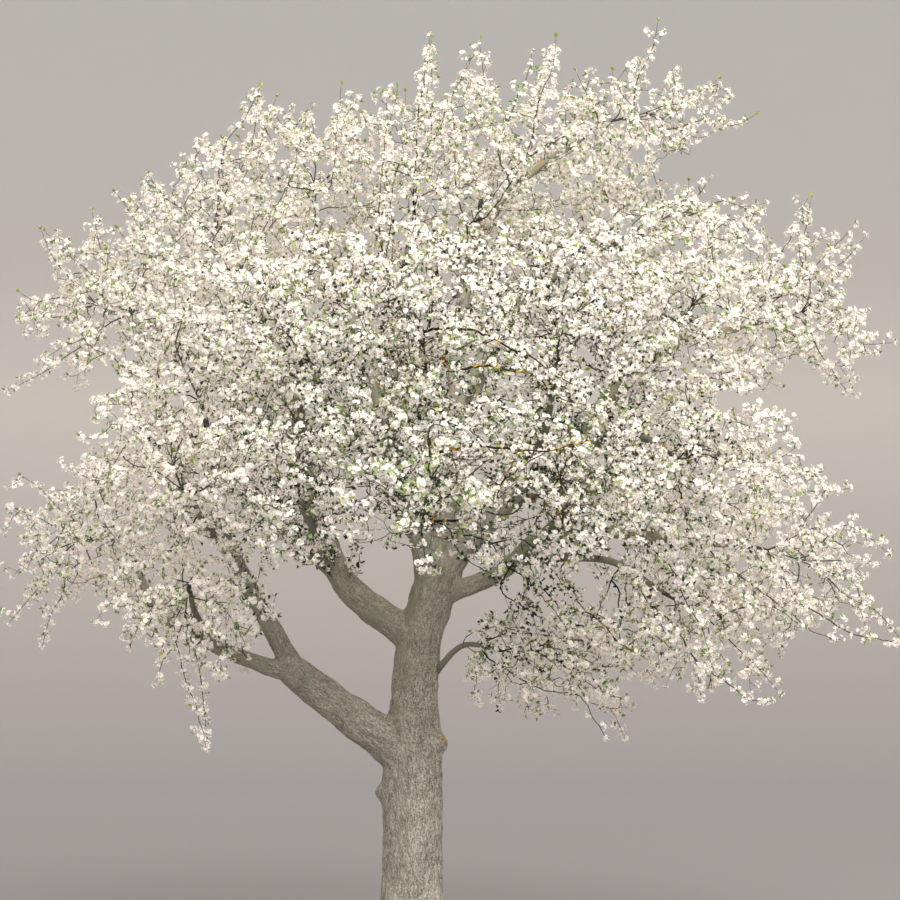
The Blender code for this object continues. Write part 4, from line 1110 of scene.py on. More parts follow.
@dataclass
class CrownMass:
    """One mass of the crown: the wands of its solid's sprays, carried on to fine shoots within its room."""

    mass: Mass
    stem: Path
    space: Space
    view: FrontView
    chance: np.random.Generator
    wand_radii: tuple[float, float] = (0.0072, 0.0024)
    wand_sag: float = 0.07
    wand_wander: float = 0.02
    long_shoots: int = 9
    bare_radii: tuple[float, float] = (0.0058, 0.0024)
    long_radii: tuple[float, float] = (0.0052, 0.0021)
    long_lengths: tuple[float, float] = (0.35, 0.80)
    fine_radii: tuple[float, float] = (0.0040, 0.0019)
    offers: int = 24
    inset: tuple[float, float] = (1.00, 1.12)
    farthest: float = 0.70
    shell: tuple[float, float] = (0.10, 1.0)
    reach: float = 1.10
    overlap: float = 0.10
    step: float = 0.085
    path_cost: float = 0.25
    sharp_turn: float = 0.15
    turn_cost: float = 0.6
    shortest: float = 0.06
    unevenness: float = 0.010
    least_shown: float = 0.8
    shoots: list[Shoot] = field(default_factory=list)

    def grow(self, lines: Iterable[tuple[Array, ...]]) -> list[Shoot]:
        """Grows the mass from the lines of its solid's sprays.

        Args:
            lines: The foot, the root where there is one, and the tip of each spray.

        Returns:
            All its twigs.
        """
        outward = self.space.centre - CROWN_MIDDLE
        self.lean = HABIT_GAIN * np.array(self.mass.habit.value) + OUTWARD_LEAN * unit(outward * (1, 1, 0))
        self.nodes = np.empty((0, 3))
        self.headings = np.empty((0, 3))
        self.reaches = np.empty(0)
        self.remember(self.stem.points[12::6], 0.0)
        for line in lines:
            self.add_wand(line)
        for _ in range(self.long_shoots):
            self.add_long_shoot()
        for _ in range(self.mass.fine_shoots):
            self.add_fine_shoot()
        for _ in range(BARE_TWIGS[self.mass.region]):
            self.add_bare_twig()
        return self.shoots

    def remember(self, points: Array, start: float) -> None:
        """Keeps the points of a new twig as places that more twigs may leave from."""
        runs = np.diff(points, axis=0)
        self.nodes = np.concatenate([self.nodes, points[1:]])
        self.headings = np.concatenate([self.headings, units(runs)])
        lengths = np.cumsum(np.linalg.norm(runs, axis=1))
        self.reaches = np.concatenate([self.reaches, start + lengths])

    def wander(self, size: float) -> Array:
        """A small random offset."""
        return size * self.chance.normal(size=3)

    def add_wand(self, line: tuple[Array, ...]) -> None:
        """Lays a smooth wand along one spray of the solid, sagging where the habit weeps."""
        foot, tip = line[0], line[-1]
        length = np.linalg.norm(tip - foot)
        middle = line[1] if len(line) == 3 else foot + 0.5 * (tip - foot)
        sag = (0, 0, -np.sign(self.lean[2] - 0.1) * self.wand_sag * length)
        inner = middle + self.wander(self.wand_wander)
        outer = 0.45 * middle + 0.55 * tip + sag + self.wander(self.wand_wander)
        knots = [foot, inner, outer, tip]
        near = int(np.argmin(np.linalg.norm(self.nodes - foot, axis=1)))
        heading = units(self.headings[near] + 0.6 * unit(tip - foot))
        points = smooth_curve(knots, max(5, round(length / self.step)), heading)
        self.shoots.append(Shoot(points, *self.wand_radii, wand=True))
        self.remember(points, np.linalg.norm(foot - self.stem.points[0]))

    def reach_for(
        self, place: Array, heading: Array, radii: tuple[float, float], wand: bool, bloom: float = 1.0
    ) -> None:
        """Grows a twig to a place from the node that reaches it at the least cost.

        Args:
            place: Where the twig ends.
            heading: The direction in which it ends.
            radii: Its radius at its foot and at its tip.
            wand: True if it is a long one.
            bloom: The share of it that blooms.
        """
        runs = place - self.nodes
        distances = np.linalg.norm(runs, axis=1)
        leaning = (runs * self.headings).sum(axis=1) / np.maximum(distances, 1e-6)
        turning = np.where(leaning < self.sharp_turn, self.turn_cost, 0.0)
        cost = distances + self.path_cost * self.reaches + turning
        index = int(np.argmin(np.where(distances > self.shortest, cost, OUT_OF_REACH)))
        foot, run = self.nodes[index], distances[index]
        leaving = units(self.headings[index] + 0.8 * units(runs[index]) + self.wander(0.2))
        knots = [foot, foot + 0.33 * run * leaving, place - 0.33 * run * heading, place]
        points = smooth_curve(knots, max(3, round(1.05 * run / self.step)))
        points[1:-1] += self.unevenness * self.chance.normal(size=(len(points) - 2, 3))
        shown = self.view.holds(points[1:]).mean() > self.least_shown
        if shown and self.space.rows_in_cell(points[1:], self.overlap).all():
            self.shoots.append(Shoot(points, *radii, wand, bloom))
            self.remember(points, self.reaches[index])

    def has_room_for(self, place: Array) -> bool:
        """True if the camera sees the place in the crown and it lies in the mass's own room."""
        return bool(self.view.holds(place[None])[0] and self.space.rows_in_cell(place[None], self.overlap)[0])

    def add_long_shoot(self) -> None:
        """Grows a long shoot that ends at the skin of the mass."""
        direction = units(self.chance.normal(size=3))
        place = self.space.centre + self.space.radii * direction * self.chance.uniform(0.8, self.reach)
        heading = units(0.7 * direction + self.lean + self.wander(0.25))
        if self.has_room_for(place):
            start = place - heading * self.chance.uniform(*self.long_lengths)
            if np.linalg.norm(self.nodes - start, axis=1).min() < 0.5:
                self.reach_for(place, heading, self.long_radii, True)

    def add_fine_shoot(self) -> None:
        """Grows a fine shoot into the emptiest of several places offered."""
        directions = units(self.chance.normal(size=(self.offers, 3)))
        shells = np.sqrt(self.chance.uniform(*self.shell, self.offers))[:, None] * self.reach
        places = self.space.centre + self.space.radii * directions * shells
        away = np.linalg.norm(places[:, None] - self.nodes[None], axis=2).min(axis=1)
        insets = self.chance.uniform(*self.inset, self.offers)[:, None]
        fits = self.view.holds(CROWN_MIDDLE + (places - CROWN_MIDDLE) * insets) & (away < self.farthest)
        fits &= self.space.rows_in_cell(places, self.overlap)
        if fits.any():
            best = int(np.argmax(np.where(fits, away, -1.0)))
            heading = units(0.6 * directions[best] + 0.8 * self.lean + self.wander(0.3))
            self.reach_for(places[best], heading, self.fine_radii, False)

    def add_bare_twig(self) -> None:
        """Grows a bare twig with hardly a flower on it in the shaded middle of the mass; deep in the crown
        its bark is the near-black painted shade.
        """
        direction = units(self.chance.normal(size=3))
        place = self.space.centre + self.space.radii * direction * self.chance.uniform(0.15, 0.75)
        if self.has_room_for(place):
            self.reach_for(place, units(direction + 0.6 * self.lean), self.bare_radii, False, 0.0)


def spurs_along_limbs(
    paths: dict[str, Path], view: FrontView, chance: np.random.Generator
) -> dict[str, list[Shoot]]:
    """Grows the short blossoming spur shoots that stand on the limbs themselves.

    Args:
        paths: The centre lines of all limbs.
        view: The crown as the camera sees it.
        chance: The source of random numbers.

    Returns:
        The shoots, by the name of their limb.
    """
    shoots: dict[str, list[Shoot]] = {}
    for name, path in paths.items():
        shoots[name] = []
        if name == "trunk":
            continue
        distance = LIMB_SPURS_FROM * path.length
        while distance < path.length:
            point, tangent, normal = path.at(distance)
            outward = circle(np.array(chance.uniform(0, 2 * math.pi)), normal, np.cross(tangent, normal))
            heading = units(outward + 0.5 * tangent + LIMB_SPUR_LIFT)
            foot = point + outward * path.radius(distance) * 0.8
            length = chance.uniform(*LIMB_SPUR_LENGTHS)
            knots = [foot, foot + 0.5 * length * heading, foot + length * units(heading + LIMB_SPUR_LIFT)]
            points = smooth_curve(knots, max(2, round(length / LIMB_SPUR_STEP)))
            if view.holds(points[1:]).all():
                shoots[name].append(Shoot(points, *LIMB_SPUR_RADII, False))
            distance += chance.uniform(*LIMB_SPUR_SPACING)
    return shoots


def grow_seen_shoots(paths: dict[str, Path], stems: dict[str, Path]) -> dict[Region, list[Shoot]]:
    """Grows the shoots that the photograph shows one by one, each from the wood nearest to its foot.

    Args:
        paths: The centre lines of all limbs.
        stems: The stem of each mass.

    Returns:
        The shoots by region.
    """
    chance = np.random.default_rng(CROWN_SEED + SEEN_SHOOTS_STEP)
    wood = [path.points[CURVE_SAMPLES // 3 :] for name, path in paths.items() if name != "trunk"]
    wood = np.concatenate([*wood, *(stem.points for stem in stems.values())])
    shoots: dict[Region, list[Shoot]] = {region: [] for region in Region}
    for region, foot_radius, tip_radius, bloom, routes in SEEN_SHOOTS:
        for (near, far), *route in routes:
            depths = np.linspace(near, far, len(route))
            places = [(x, round(float(y), 2), z) for (x, z), y in zip(route, depths)]
            runs = places[0] - wood
            behind = runs @ unit(np.subtract(places[1], places[0]))
            foot = wood[np.argmin(np.linalg.norm(runs, axis=1) - FOOT_BEHIND * behind)]
            length = np.linalg.norm(np.diff([foot, *places], axis=0), axis=1).sum()
            points = smooth_curve([foot, *places], round(length / SEEN_STEP))
            points[1:-1] += SEEN_UNEVENNESS * chance.normal(size=(len(points) - 2, 3))
            wood = np.concatenate([wood, points])
            shoots[region].append(Shoot(points, foot_radius, tip_radius, True, bloom))
    return shoots


@dataclass
class Clusters:
    """A region's blossom clusters, one row each: the spur that bears it, its twig, and how deep it lies."""

    feet: Array
    ends: Array
    headings: Array
    sprays: Array
    depths: Array
    rims: Array
    leafy: Array

    def only(self, kept: Array) -> "Clusters":
        """Those clusters for which the row is true."""
        return Clusters(*(getattr(self, part.name)[kept] for part in fields(self)))


def depth_in_crown(places: Array, axes: Place = (1, 1, 1)) -> Array:
    """How far out of the shade each place lies, or its front view: nothing at the middle, one at the skin."""
    return np.sqrt(((((places - SHADE_MIDDLE) / CROWN_REACH) * axes) ** 2).sum(axis=1))


def seat_clusters(shoots: list[Shoot], view: FrontView, chance: np.random.Generator) -> Clusters:
    """Seats blossom clusters along twigs, each turned on from the one before, on spurs and short side twigs.

    Args:
        shoots: The twigs.
        view: The crown as the camera sees it.
        chance: The source of random numbers.

    Returns:
        The clusters.
    """
    feet, ends, headings, sprays, leafy, free = [], [], [], [], [], []
    for number, shoot in enumerate(shoots):
        along = distances_along(shoot.points)
        length = along[-1]
        bare, spacing, twig_share = BARE_FOOT, CLUSTER_SPACING, SIDE_TWIG_SHARE
        if shoot.wand:
            bare, spacing, twig_share = BARE_SHARE * length, WAND_SPACING, WAND_TWIG_SHARE
        upright = shoot.wand and unit(shoot.points[-1] - shoot.points[-3])[2] > UPRIGHT_RISE
        stations = np.arange(length - (BARE_TIP if upright else spacing), bare, -spacing)
        stations = stations + chance.uniform(-STATION_SHIFT, STATION_SHIFT, len(stations))
        stations = np.clip(np.concatenate([[length], stations]), 0, length)
        blooming = chance.uniform(size=len(stations)) < shoot.bloom
        blooming[0] = True
        stations = stations[blooming]
        count = len(stations)
        places = read_rows(shoot.points, along, stations)
        tangents = units(read_rows(units(np.gradient(shoot.points, axis=0)), along, stations))
        side = units(np.cross(tangents, ODD_DIRECTION))
        turns = np.arange(count) * GOLDEN_TURN + chance.uniform(0, FULL_TURN)
        outward = circle(turns, side, np.cross(tangents, side))
        leaning = units(outward + chance.uniform(*SPUR_LEAN, (count, 1)) * tangents + SPUR_LIFT)
        leaning[0] = units(tangents[0] + END_LIFT)
        twiggy = chance.uniform(size=count) < twig_share
        twiggy[0] = False
        lengths = [chance.uniform(*reach, count) for reach in (SIDE_TWIG_LENGTHS, SPUR_LENGTHS)]
        tips = places + np.where(twiggy, *lengths)[:, None] * leaning
        inner = (places + SECOND_SPUR_AT * (tips - places))[twiggy]
        aside = units(np.cross(leaning[twiggy], chance.normal(size=(len(inner), 3))) + 0.5 * leaning[twiggy])
        feet += [places, inner]
        ends += [tips, inner + aside * chance.uniform(*SPUR_LENGTHS, len(inner))[:, None]]
        headings += [leaning, aside]
        ends_leafy = upright and chance.uniform() < LEAFY_TIPS
        count += len(inner)
        sprays.append(np.full(count, number))
        leafy.append(np.arange(count) < int(ends_leafy))
        free.append(np.full(count, shoot.wand))
    rows = [np.concatenate(parts) for parts in (feet, ends, headings, sprays)]
    depths, rims = depth_in_crown(rows[1]), depth_in_crown(rows[1], (1, 0, 1))
    clusters = Clusters(*rows, depths, rims, np.concatenate(leafy))
    within = view.holds(CROWN_MIDDLE + (clusters.ends - CROWN_MIDDLE) * WITHIN_OUTLINE)
    cleared = view.before_wood(clusters.ends) & (chance.uniform(size=len(within)) < WOOD_SHOWN)
    return clusters.only((within | np.concatenate(free)) & ~cleared)


def meander(points: Array) -> Array:
    """Bends the space of the crown a little, so that no limb, stem or shoot in it runs straight."""
    fade = np.clip((points[:, 2:] - MEANDER_FROM) / 1.2, 0, 1)
    bent = points.copy()
    for cell, size in MEANDERS:
        for axis in range(3):
            bent[:, axis] += size * fade[:, 0] * (grain(points, cell, 31 + axis) - 0.5)
    return bent


def linear_colour(sheet: str) -> tuple[float, float, float, float]:
    """Turns an sRGB hex colour such as #A0B0C0 into the linear colour that a shader takes.

    Args:
        sheet: The colour as a hex value.

    Returns:
        The red, green, blue and alpha values.
    """
    channels = [int(sheet[k : k + 2], 16) / 255 for k in (1, 3, 5)]
    red, green, blue = (c / 12.92 if c <= 0.04045 else ((c + 0.055) / 1.055) ** 2.4 for c in channels)
    return red, green, blue, 1.0


def add_node(
    tree: bpy.types.NodeTree, kind: str, settings: dict | None = None, **inputs: object
) -> bpy.types.Node:
    """Adds a node with its settings and its inputs.

    Args:
        tree: The node tree.
        kind: The node's type name.
        settings: The node's own properties.
        inputs: A value or an output to link for each input, with spaces in its name written as underlines.

    Returns:
        The node.
    """
    node = tree.nodes.new(kind)
    for name, value in (settings or {}).items():
        setattr(node, name, value)
    for name, value in inputs.items():
        numbered = name[0] == "i" and name[1:].isdigit()
        socket = node.inputs[int(name[1:]) if numbered else name.replace("_", " ")]
        if isinstance(value, bpy.types.NodeSocket):
            tree.links.new(value, socket)
        else:
            socket.default_value = value
    return node


def colour_ramp(
    tree: bpy.types.NodeTree, value: bpy.types.NodeSocket, stops: Sequence[tuple[float, str]]
) -> bpy.types.NodeSocket:
    """Adds a ramp of sRGB colours over a value, and returns its colour."""
    ramp = add_node(tree, "ShaderNodeValToRGB", Fac=value)
    while len(ramp.color_ramp.elements) < len(stops):
        ramp.color_ramp.elements.new(0.5)
    for element, (position, colour) in zip(ramp.color_ramp.elements, stops):
        element.position = position
        element.color = linear_colour(colour)
    return ramp.outputs["Color"]


def new_material(
    name: str, roughness: float, specular: float
) -> tuple[bpy.types.Material, bpy.types.NodeTree, bpy.types.Node]:
    """A new material with its node tree and its one shader, which is set to a roughness and a specular level.
    """
    material = bpy.data.materials.new(name)
    material.use_nodes = True
    shader = material.node_tree.nodes["Principled BSDF"]
    shader.inputs["Roughness"].default_value = roughness
    shader.inputs["Specular IOR Level"].default_value = specular
    return material, material.node_tree, shader


@dataclass(frozen=True)
class PlainFinish:
    """A finish of one plain colour, dealt out by spray among others of its kind."""

    name: str
    colour: str
    roughness: float
    specular: float
    share: float = 0.0
    # Strength of a painted glow: light given off in the finish's own colour, though the part is no lamp
    glow: float = 0.0

    def build(self) -> bpy.types.Material:
        """The finish as a material."""
        material, _, shader = new_material(self.name, self.roughness, self.specular)
        shader.inputs["Base Color"].default_value = linear_colour(self.colour)
        # Painted glow: emission that lifts the shaded side, though the part is no lamp
        if self.glow:
            shader.inputs["Emission Color"].default_value = linear_colour(self.colour)
            shader.inputs["Emission Strength"].default_value = self.glow
        return material


# Petals are thin, matt and velvety: near white with a warm cast, a few with the pink of the opening bud. A
# painted glow, an emission in the petal's own colour, lifts their shaded side in place of the light that
# comes through the thin petal, and the darker tone dealt to some petal faces is painted shade.
PETALS = (
    PlainFinish("petal_cream", "#FAF5ED", 0.65, 0.20, 0.52, 0.13),
    PlainFinish("petal_ivory", "#F5EDE2", 0.65, 0.20, 0.38, 0.13),
    PlainFinish("petal_blush", "#F6E9E2", 0.65, 0.20, 0.10, 0.13),
    PlainFinish("petal_pink_bud", "#EBC9C0", 0.65, 0.20, 0.00, 0.04),
    # A darker petal tone, dealt to faces at random, that is painted shade
    PlainFinish("petal_folded", "#D9CFC1", 0.65, 0.20, 0.00, 0.09),
)
# Numbers of single petal finishes in that row
CREAM, BLUSH, PINK, PAINTED_SHADE_PETAL = 0, 2, 3, 4
# Stamens are a small tuft of pale yellow threads in the throat of the flower
STAMENS = PlainFinish("stamen_yellow", "#DCCB80", 0.70, 0.20)
# Flower stalks are thin, downy and green
STALKS = PlainFinish("stalk_green", "#7C8A4A", 0.60, 0.25)
# Young leaves have a soft satin skin: fresh green near the flowers, yellow-green at the tips of shoots, and a
# dark green on leaves inside the crown that is painted shade
LEAVES = (
    PlainFinish("leaf_fresh", "#7C9A4A", 0.50, 0.35),
    PlainFinish("leaf_deep", "#203A20", 0.48, 0.35),
    PlainFinish("leaf_tip", "#A9B45C", 0.52, 0.35),
)
# Number of the yellow-green finish in that row
LEAF_TIP = 2


def joined_piece(
    name: str, points: Array, faces: Array, finishes: Sequence[bpy.types.Material], dealt: Array
) -> bpy.types.Object:
    """Makes one mesh from arrays of triangles.

    Args:
        name: The piece's name.
        points: The corners, one row each.
        faces: Three corner numbers for each triangle.
        finishes: The piece's materials.
        dealt: The number of each triangle's material.

    Returns:
        The piece, linked to the scene.
    """
    mesh = bpy.data.meshes.new(name)
    mesh.vertices.add(len(points))
    mesh.vertices.foreach_set("co", points.astype(np.float32).ravel())
    mesh.loops.add(faces.size)
    mesh.loops.foreach_set("vertex_index", faces.astype(np.int32).ravel())
    mesh.polygons.add(len(faces))
    mesh.polygons.foreach_set("loop_start", np.arange(0, faces.size, 3, dtype=np.int32))
    for finish in finishes:
        mesh.materials.append(finish)
    mesh.polygons.foreach_set("material_index", dealt.astype(np.int32))
    mesh.update(calc_edges=True)
    mesh.validate()
    piece = bpy.data.objects.new(name, mesh)
    bpy.context.scene.collection.objects.link(piece)
    return piece


Part = tuple[Array, Array, Array]


def gather(parts: Sequence[Part]) -> Part:
    """Joins parts into one set of arrays.

    Args:
        parts: The corners, the triangles and the number of each triangle's material, for every part.

    Returns:
        The same for all of them together.
    """
    starts = np.cumsum([0, *(len(points) for points, _, _ in parts)])
    points = np.concatenate([points for points, _, _ in parts])
    faces = np.concatenate([faces + start for (_, faces, _), start in zip(parts, starts)])
    return points, faces, np.concatenate([dealt for _, _, dealt in parts])


@dataclass(frozen=True)
class Shape:
    """A small shape that is modelled once and copied: its corners and its triangles."""

    points: Array
    faces: Array

    def copies(self, origins: Array, frames: Array, sizes: Array) -> tuple[Array, Array]:
        """Lays copies of the shape.

        Args:
            origins: Where each copy's origin goes.
            frames: The three axes of each copy, as the rows of a matrix.
            sizes: The scale of each copy.

        Returns:
            The corners and the triangles of all copies.
        """
        points = np.einsum("vk,nkj->nvj", self.points, frames) * sizes[:, None, None] + origins[:, None, :]
        faces = self.faces[None] + (np.arange(len(origins)) * len(self.points))[:, None, None]
        return points.reshape(-1, 3), faces.reshape(-1, 3)


def frames_facing(facings: Array, rolls: Array) -> Array:
    """Finds the axes of shapes that face given ways.

    Args:
        facings: The direction of each shape's own Z axis.
        rolls: How far each is turned about it.

    Returns:
        Three axes for each, as the rows of a matrix.
    """
    side = units(np.cross(facings, (0.42, 0.28, 0.86)))
    turned = circle(rolls, side, np.cross(facings, side))
    return np.stack([turned, np.cross(facings, turned), facings], axis=1)


def read_mesh(table: bpy.types.bpy_prop_collection, value: str, width: int = 0) -> Array:
    """A value, or a row of so many values, of each corner, loop or face of a mesh."""
    read = np.empty(len(table) * max(width, 1), float if width else int)
    table.foreach_get(value, read)
    return read.reshape(-1, width) if width else read


def select_only(pieces: Sequence[bpy.types.Object]) -> None:
    """Selects some objects and nothing else, with the first of them active."""
    bpy.ops.object.select_all(action="DESELECT")
    for piece in pieces:
        piece.select_set(True)
    bpy.context.view_layer.objects.active = pieces[0]


def start_primitive(add: Callable[..., set], **settings: object) -> bpy.types.Object:
    """Adds a primitive with nothing else selected and opens it in edit mode.

    Args:
        add: The operator that adds it.
        settings: The operator's settings.

    Returns:
        The new object.
    """
    bpy.ops.object.select_all(action="DESELECT")
    add(**settings)
    bpy.ops.object.mode_set(mode="EDIT")
    return bpy.context.object


def select_in(made: bpy.types.Object, kind: str, chosen: Sequence[bool]) -> None:
    """Selects those corners, edges or faces of the open mesh for which the row is true."""
    bpy.ops.mesh.select_mode(type=kind)
    bpy.ops.mesh.select_all(action="DESELECT")
    bpy.ops.object.mode_set(mode="OBJECT")
    mesh = made.data
    {"VERT": mesh.vertices, "EDGE": mesh.edges, "FACE": mesh.polygons}[kind].foreach_set("select", chosen)
    bpy.ops.object.mode_set(mode="EDIT")


def select_corners(made: bpy.types.Object, chosen: Callable[[Vector], bool]) -> None:
    """Selects the corners of the open mesh for which the test is true."""
    bpy.ops.object.mode_set(mode="OBJECT")
    flags = [chosen(corner.co) for corner in made.data.vertices]
    bpy.ops.object.mode_set(mode="EDIT")
    select_in(made, "VERT", flags)


def move(x: float, y: float, z: float) -> None:
    """Moves what is selected in the open mesh."""
    bpy.ops.transform.translate(value=(x, y, z))


def stretch(x: float, y: float) -> None:
    """Stretches what is selected in the open mesh from its origin."""
    bpy.ops.transform.resize(value=(x, y, 1), center_override=(0, 0, 0))


def turn_by(degrees: float) -> None:
    """Turns what is selected in the open mesh about the Z axis."""
    bpy.ops.transform.rotate(value=math.radians(degrees), orient_axis="Z", center_override=(0, 0, 0))


def take_shape(made: bpy.types.Object) -> Shape:
    """Closes edit mode, reads the finished model as a shape and removes it.

    Args:
        made: The object that was modelled.

    Returns:
        Its shape.
    """
    bpy.ops.mesh.select_all(action="SELECT")
    bpy.ops.mesh.quads_convert_to_tris(quad_method="FIXED_ALTERNATE", ngon_method="BEAUTY")
    bpy.ops.object.mode_set(mode="OBJECT")
    mesh = made.data
    points = np.array([made.matrix_world @ corner.co for corner in mesh.vertices])
    faces = np.array([tuple(face.vertices) for face in mesh.polygons])
    bpy.data.objects.remove(made, do_unlink=True)
    bpy.data.meshes.remove(mesh)
    return Shape(points, faces)


@dataclass
class Blossom:
    """The single flowers of the tree, in a few stages of opening, and how clusters of them are dressed."""

    petals: int = 5
    petal_half_width: float = 0.50
    petal_waist_at: float = 0.62
    petal_lift: float = 0.20
    throat: float = 0.08
    plain_rim: float = 0.94
    plain_half_width: float = 0.55
    stamen_radius: float = 0.19
    stamen_height: float = 0.16
    stalk_width: float = 0.0022
    flowers_per_cluster: tuple[int, int] = (4, 9)
    lift: float = 0.12
    sunward: float = 0.6
    full_rim: float = 0.55
    middle_share: float = 0.60
    rich_share: float = 0.40
    plain_within: float = 0.1
    least_full: float = 0.25
    own_colour_share: float = 0.5
    bud_width: float = 0.6
    pink_share: float = 0.12
    middle_tilts: tuple[float, float] = (0.0, 0.6)
    # Share of petal faces that take the darker tone of painted shade
    folded_share: float = 0.20
    flower_radii: tuple[float, float] = (0.0152, 0.0205)
    stalk_lengths: tuple[float, float] = (0.010, 0.038)
    ring_tilts: tuple[float, float] = (0.45, 1.90)
    inner_depth: float = 0.30
    outer_depth: float = 0.62
    stages: tuple[tuple[float, float, float], ...] = (
        # how wide and how deep the cup is, and the share of flowers at that stage
        (1.00, 0.8, 0.58),
        (0.90, 1.7, 0.34),
        (0.50, 3.0, 0.08),
    )

    def model_petal(self) -> bpy.types.Object:
        """Models one petal from a plane: a kite from the throat to the rim, cupped across its waist."""
        half = math.sqrt(0.5)
        made = start_primitive(bpy.ops.mesh.primitive_plane_add, size=1.0, location=(0, 0, 0))
        turn_by(45)
        select_corners(made, lambda place: place.y > 0.5)
        move(0, 1.0 - half, 1.3 * self.petal_lift)
        select_corners(made, lambda place: place.y < -0.5)
        move(0, self.throat + half, 0)
        select_corners(made, lambda place: abs(place.x) > 0.5)
        stretch(self.petal_half_width / half, 1)
        move(0, self.petal_waist_at, self.petal_lift)
        return made

    def model_plain_petal(self) -> bpy.types.Object:
        """Models the plainer petal of the flowers behind: three-cornered, broad at the rim."""
        made = start_primitive(
            bpy.ops.mesh.primitive_circle_add, vertices=3, radius=2 / 3, fill_type="NGON", location=(0, 0, 0)
        )
        turn_by(180)
        wide = self.plain_half_width / math.sqrt(1 / 3)
        stretch(wide, self.plain_rim - self.throat)
        move(0, self.throat + 2 / 3 * (self.plain_rim - self.throat), 0)
        select_corners(made, lambda place: place.y > 0.5)
        move(0, 0, 1.2 * self.petal_lift)
        return made

    def spin_flower(self, made: bpy.types.Object) -> Shape:
        """Spins one petal about the middle of the flower."""
        bpy.ops.mesh.select_all(action="SELECT")
        turn = 2 * math.pi * (self.petals - 1) / self.petals
        bpy.ops.mesh.spin(steps=self.petals - 1, dupli=True, angle=turn, center=(0, 0, 0), axis=(0, 0, 1))
        return take_shape(made)

    def model_stamens(self) -> Shape:
        """Models the tuft of stamens: a small three-cornered plate set over the throat."""
        made = start_primitive(
            bpy.ops.mesh.primitive_circle_add, vertices=3, radius=self.stamen_radius, fill_type="NGON"
        )
        move(0, 0, self.stamen_height)
        return take_shape(made)

    def stalks(self, feet: Array, heads: Array) -> tuple[Array, Array]:
        """Draws a thin stalk from the end of a spur to each flower, as a sliver of one triangle."""
        across = units(np.cross(heads - feet, ODD_DIRECTION)) * self.stalk_width / 2
        points = np.stack([feet, heads - across, heads + across], axis=1).reshape(-1, 3)
        return points, np.arange(len(points)).reshape(-1, 3)

    def dress(self, name: str, clusters: Clusters, chance: np.random.Generator) -> list[bpy.types.Object]:
        """Makes the flowers of a region, cut into pieces that stay under the limit.

        Args:
            name: The first words of the pieces' names.
            clusters: The region's clusters.
            chance: The source of random numbers.

        Returns:
            The pieces.
        """
        full, plain = self.spin_flower(self.model_petal()), self.spin_flower(self.model_plain_petal())
        stamens = self.model_stamens()
        counts = chance.integers(*self.flowers_per_cluster, len(clusters.ends), endpoint=True)
        outer = np.clip((clusters.depths - self.inner_depth) / (self.outer_depth - self.inner_depth), 0, 1)
        rim = np.clip(clusters.rims / self.full_rim, 0, 1)
        full_share = self.least_full + (1 - self.least_full) * outer
        full_share = full_share * (self.middle_share + (1 - self.middle_share) * rim)
        counts = np.where(chance.uniform(size=len(counts)) < full_share, counts, counts // 4)
        counts[clusters.leafy] = 0
        owner = np.repeat(np.arange(len(counts)), counts)
        rank = np.arange(len(owner)) - np.repeat(np.cumsum(counts) - counts, counts)
        total = len(owner)
        log.info("%s: %d flowers", name, total)
        axis = clusters.headings[owner]
        tilts = [chance.uniform(*reach, total) for reach in (self.middle_tilts, self.ring_tilts)]
        tilt = np.where(rank == 0, *tilts)
        turn = rank * GOLDEN_TURN + chance.uniform(0, FULL_TURN, len(counts))[owner]
        ring = frames_facing(axis, turn)[:, 0]
        facing = units(circle(tilt, axis, ring) + (0, 0, self.lift))
        centres = clusters.ends[owner] + facing * chance.uniform(*self.stalk_lengths, total)[:, None]
        facing = units(facing + self.sunward * units(centres - CROWN_MIDDLE))
        sizes = chance.uniform(*self.flower_radii, total)
        frames = frames_facing(facing, chance.uniform(0, FULL_TURN, total))
        stage = chance.choice(len(self.stages), total, p=[share for _, _, share in self.stages])
        shape = np.array(self.stages)[stage]
        cups = frames * np.stack([shape[:, 0], shape[:, 0], shape[:, 1]], axis=1)[:, :, None]
        spray_colours = chance.choice(len(PETALS), clusters.sprays.max() + 1, p=[p.share for p in PETALS])
        colours = spray_colours[clusters.sprays[owner]]
        recoloured = chance.uniform(size=total) < self.own_colour_share
        colours = np.where(recoloured, chance.integers(CREAM, BLUSH, total), colours)
        bud = shape[:, 0] < self.bud_width
        colours = np.where(bud, np.where(chance.uniform(size=total) < self.pink_share, PINK, BLUSH), colours)
        simple = (rank > 0) | (clusters.depths[owner] < self.inner_depth + self.plain_within) | bud
        simple |= chance.uniform(size=total) > self.rich_share
        finishes = [petal.build() for petal in PETALS] + [STAMENS.build(), STALKS.build()]
        cost = np.where(simple, len(plain.faces), len(full.faces) + 2)
        pieces = []
        for number, block in enumerate(np.array_split(np.arange(total), math.ceil(cost.sum() / PIECE_LIMIT))):
            rich, poor = block[~simple[block]], block[simple[block]]
            parts = []
            for shown, flower in ((rich, full), (poor, plain)):
                points, faces = flower.copies(centres[shown], cups[shown], sizes[shown])
                tones = np.repeat(colours[shown], len(flower.faces))
                # Some petal faces take the darker tone as painted shade
                shaded_faces = chance.uniform(size=len(tones)) < self.folded_share
                parts.append((points, faces, np.where(shaded_faces, PAINTED_SHADE_PETAL, tones)))
            points, faces = stamens.copies(centres[rich], frames[rich], sizes[rich])
            parts.append((points, faces, np.full(len(faces), len(PETALS))))
            points, faces = self.stalks(clusters.ends[owner[rich]], centres[rich])
            parts.append((points, faces, np.full(len(faces), len(PETALS) + 1)))
            points, faces, dealt = gather(parts)
            pieces.append(joined_piece(f"{name}_{number + 1}", points, faces, finishes, dealt))
        return pieces


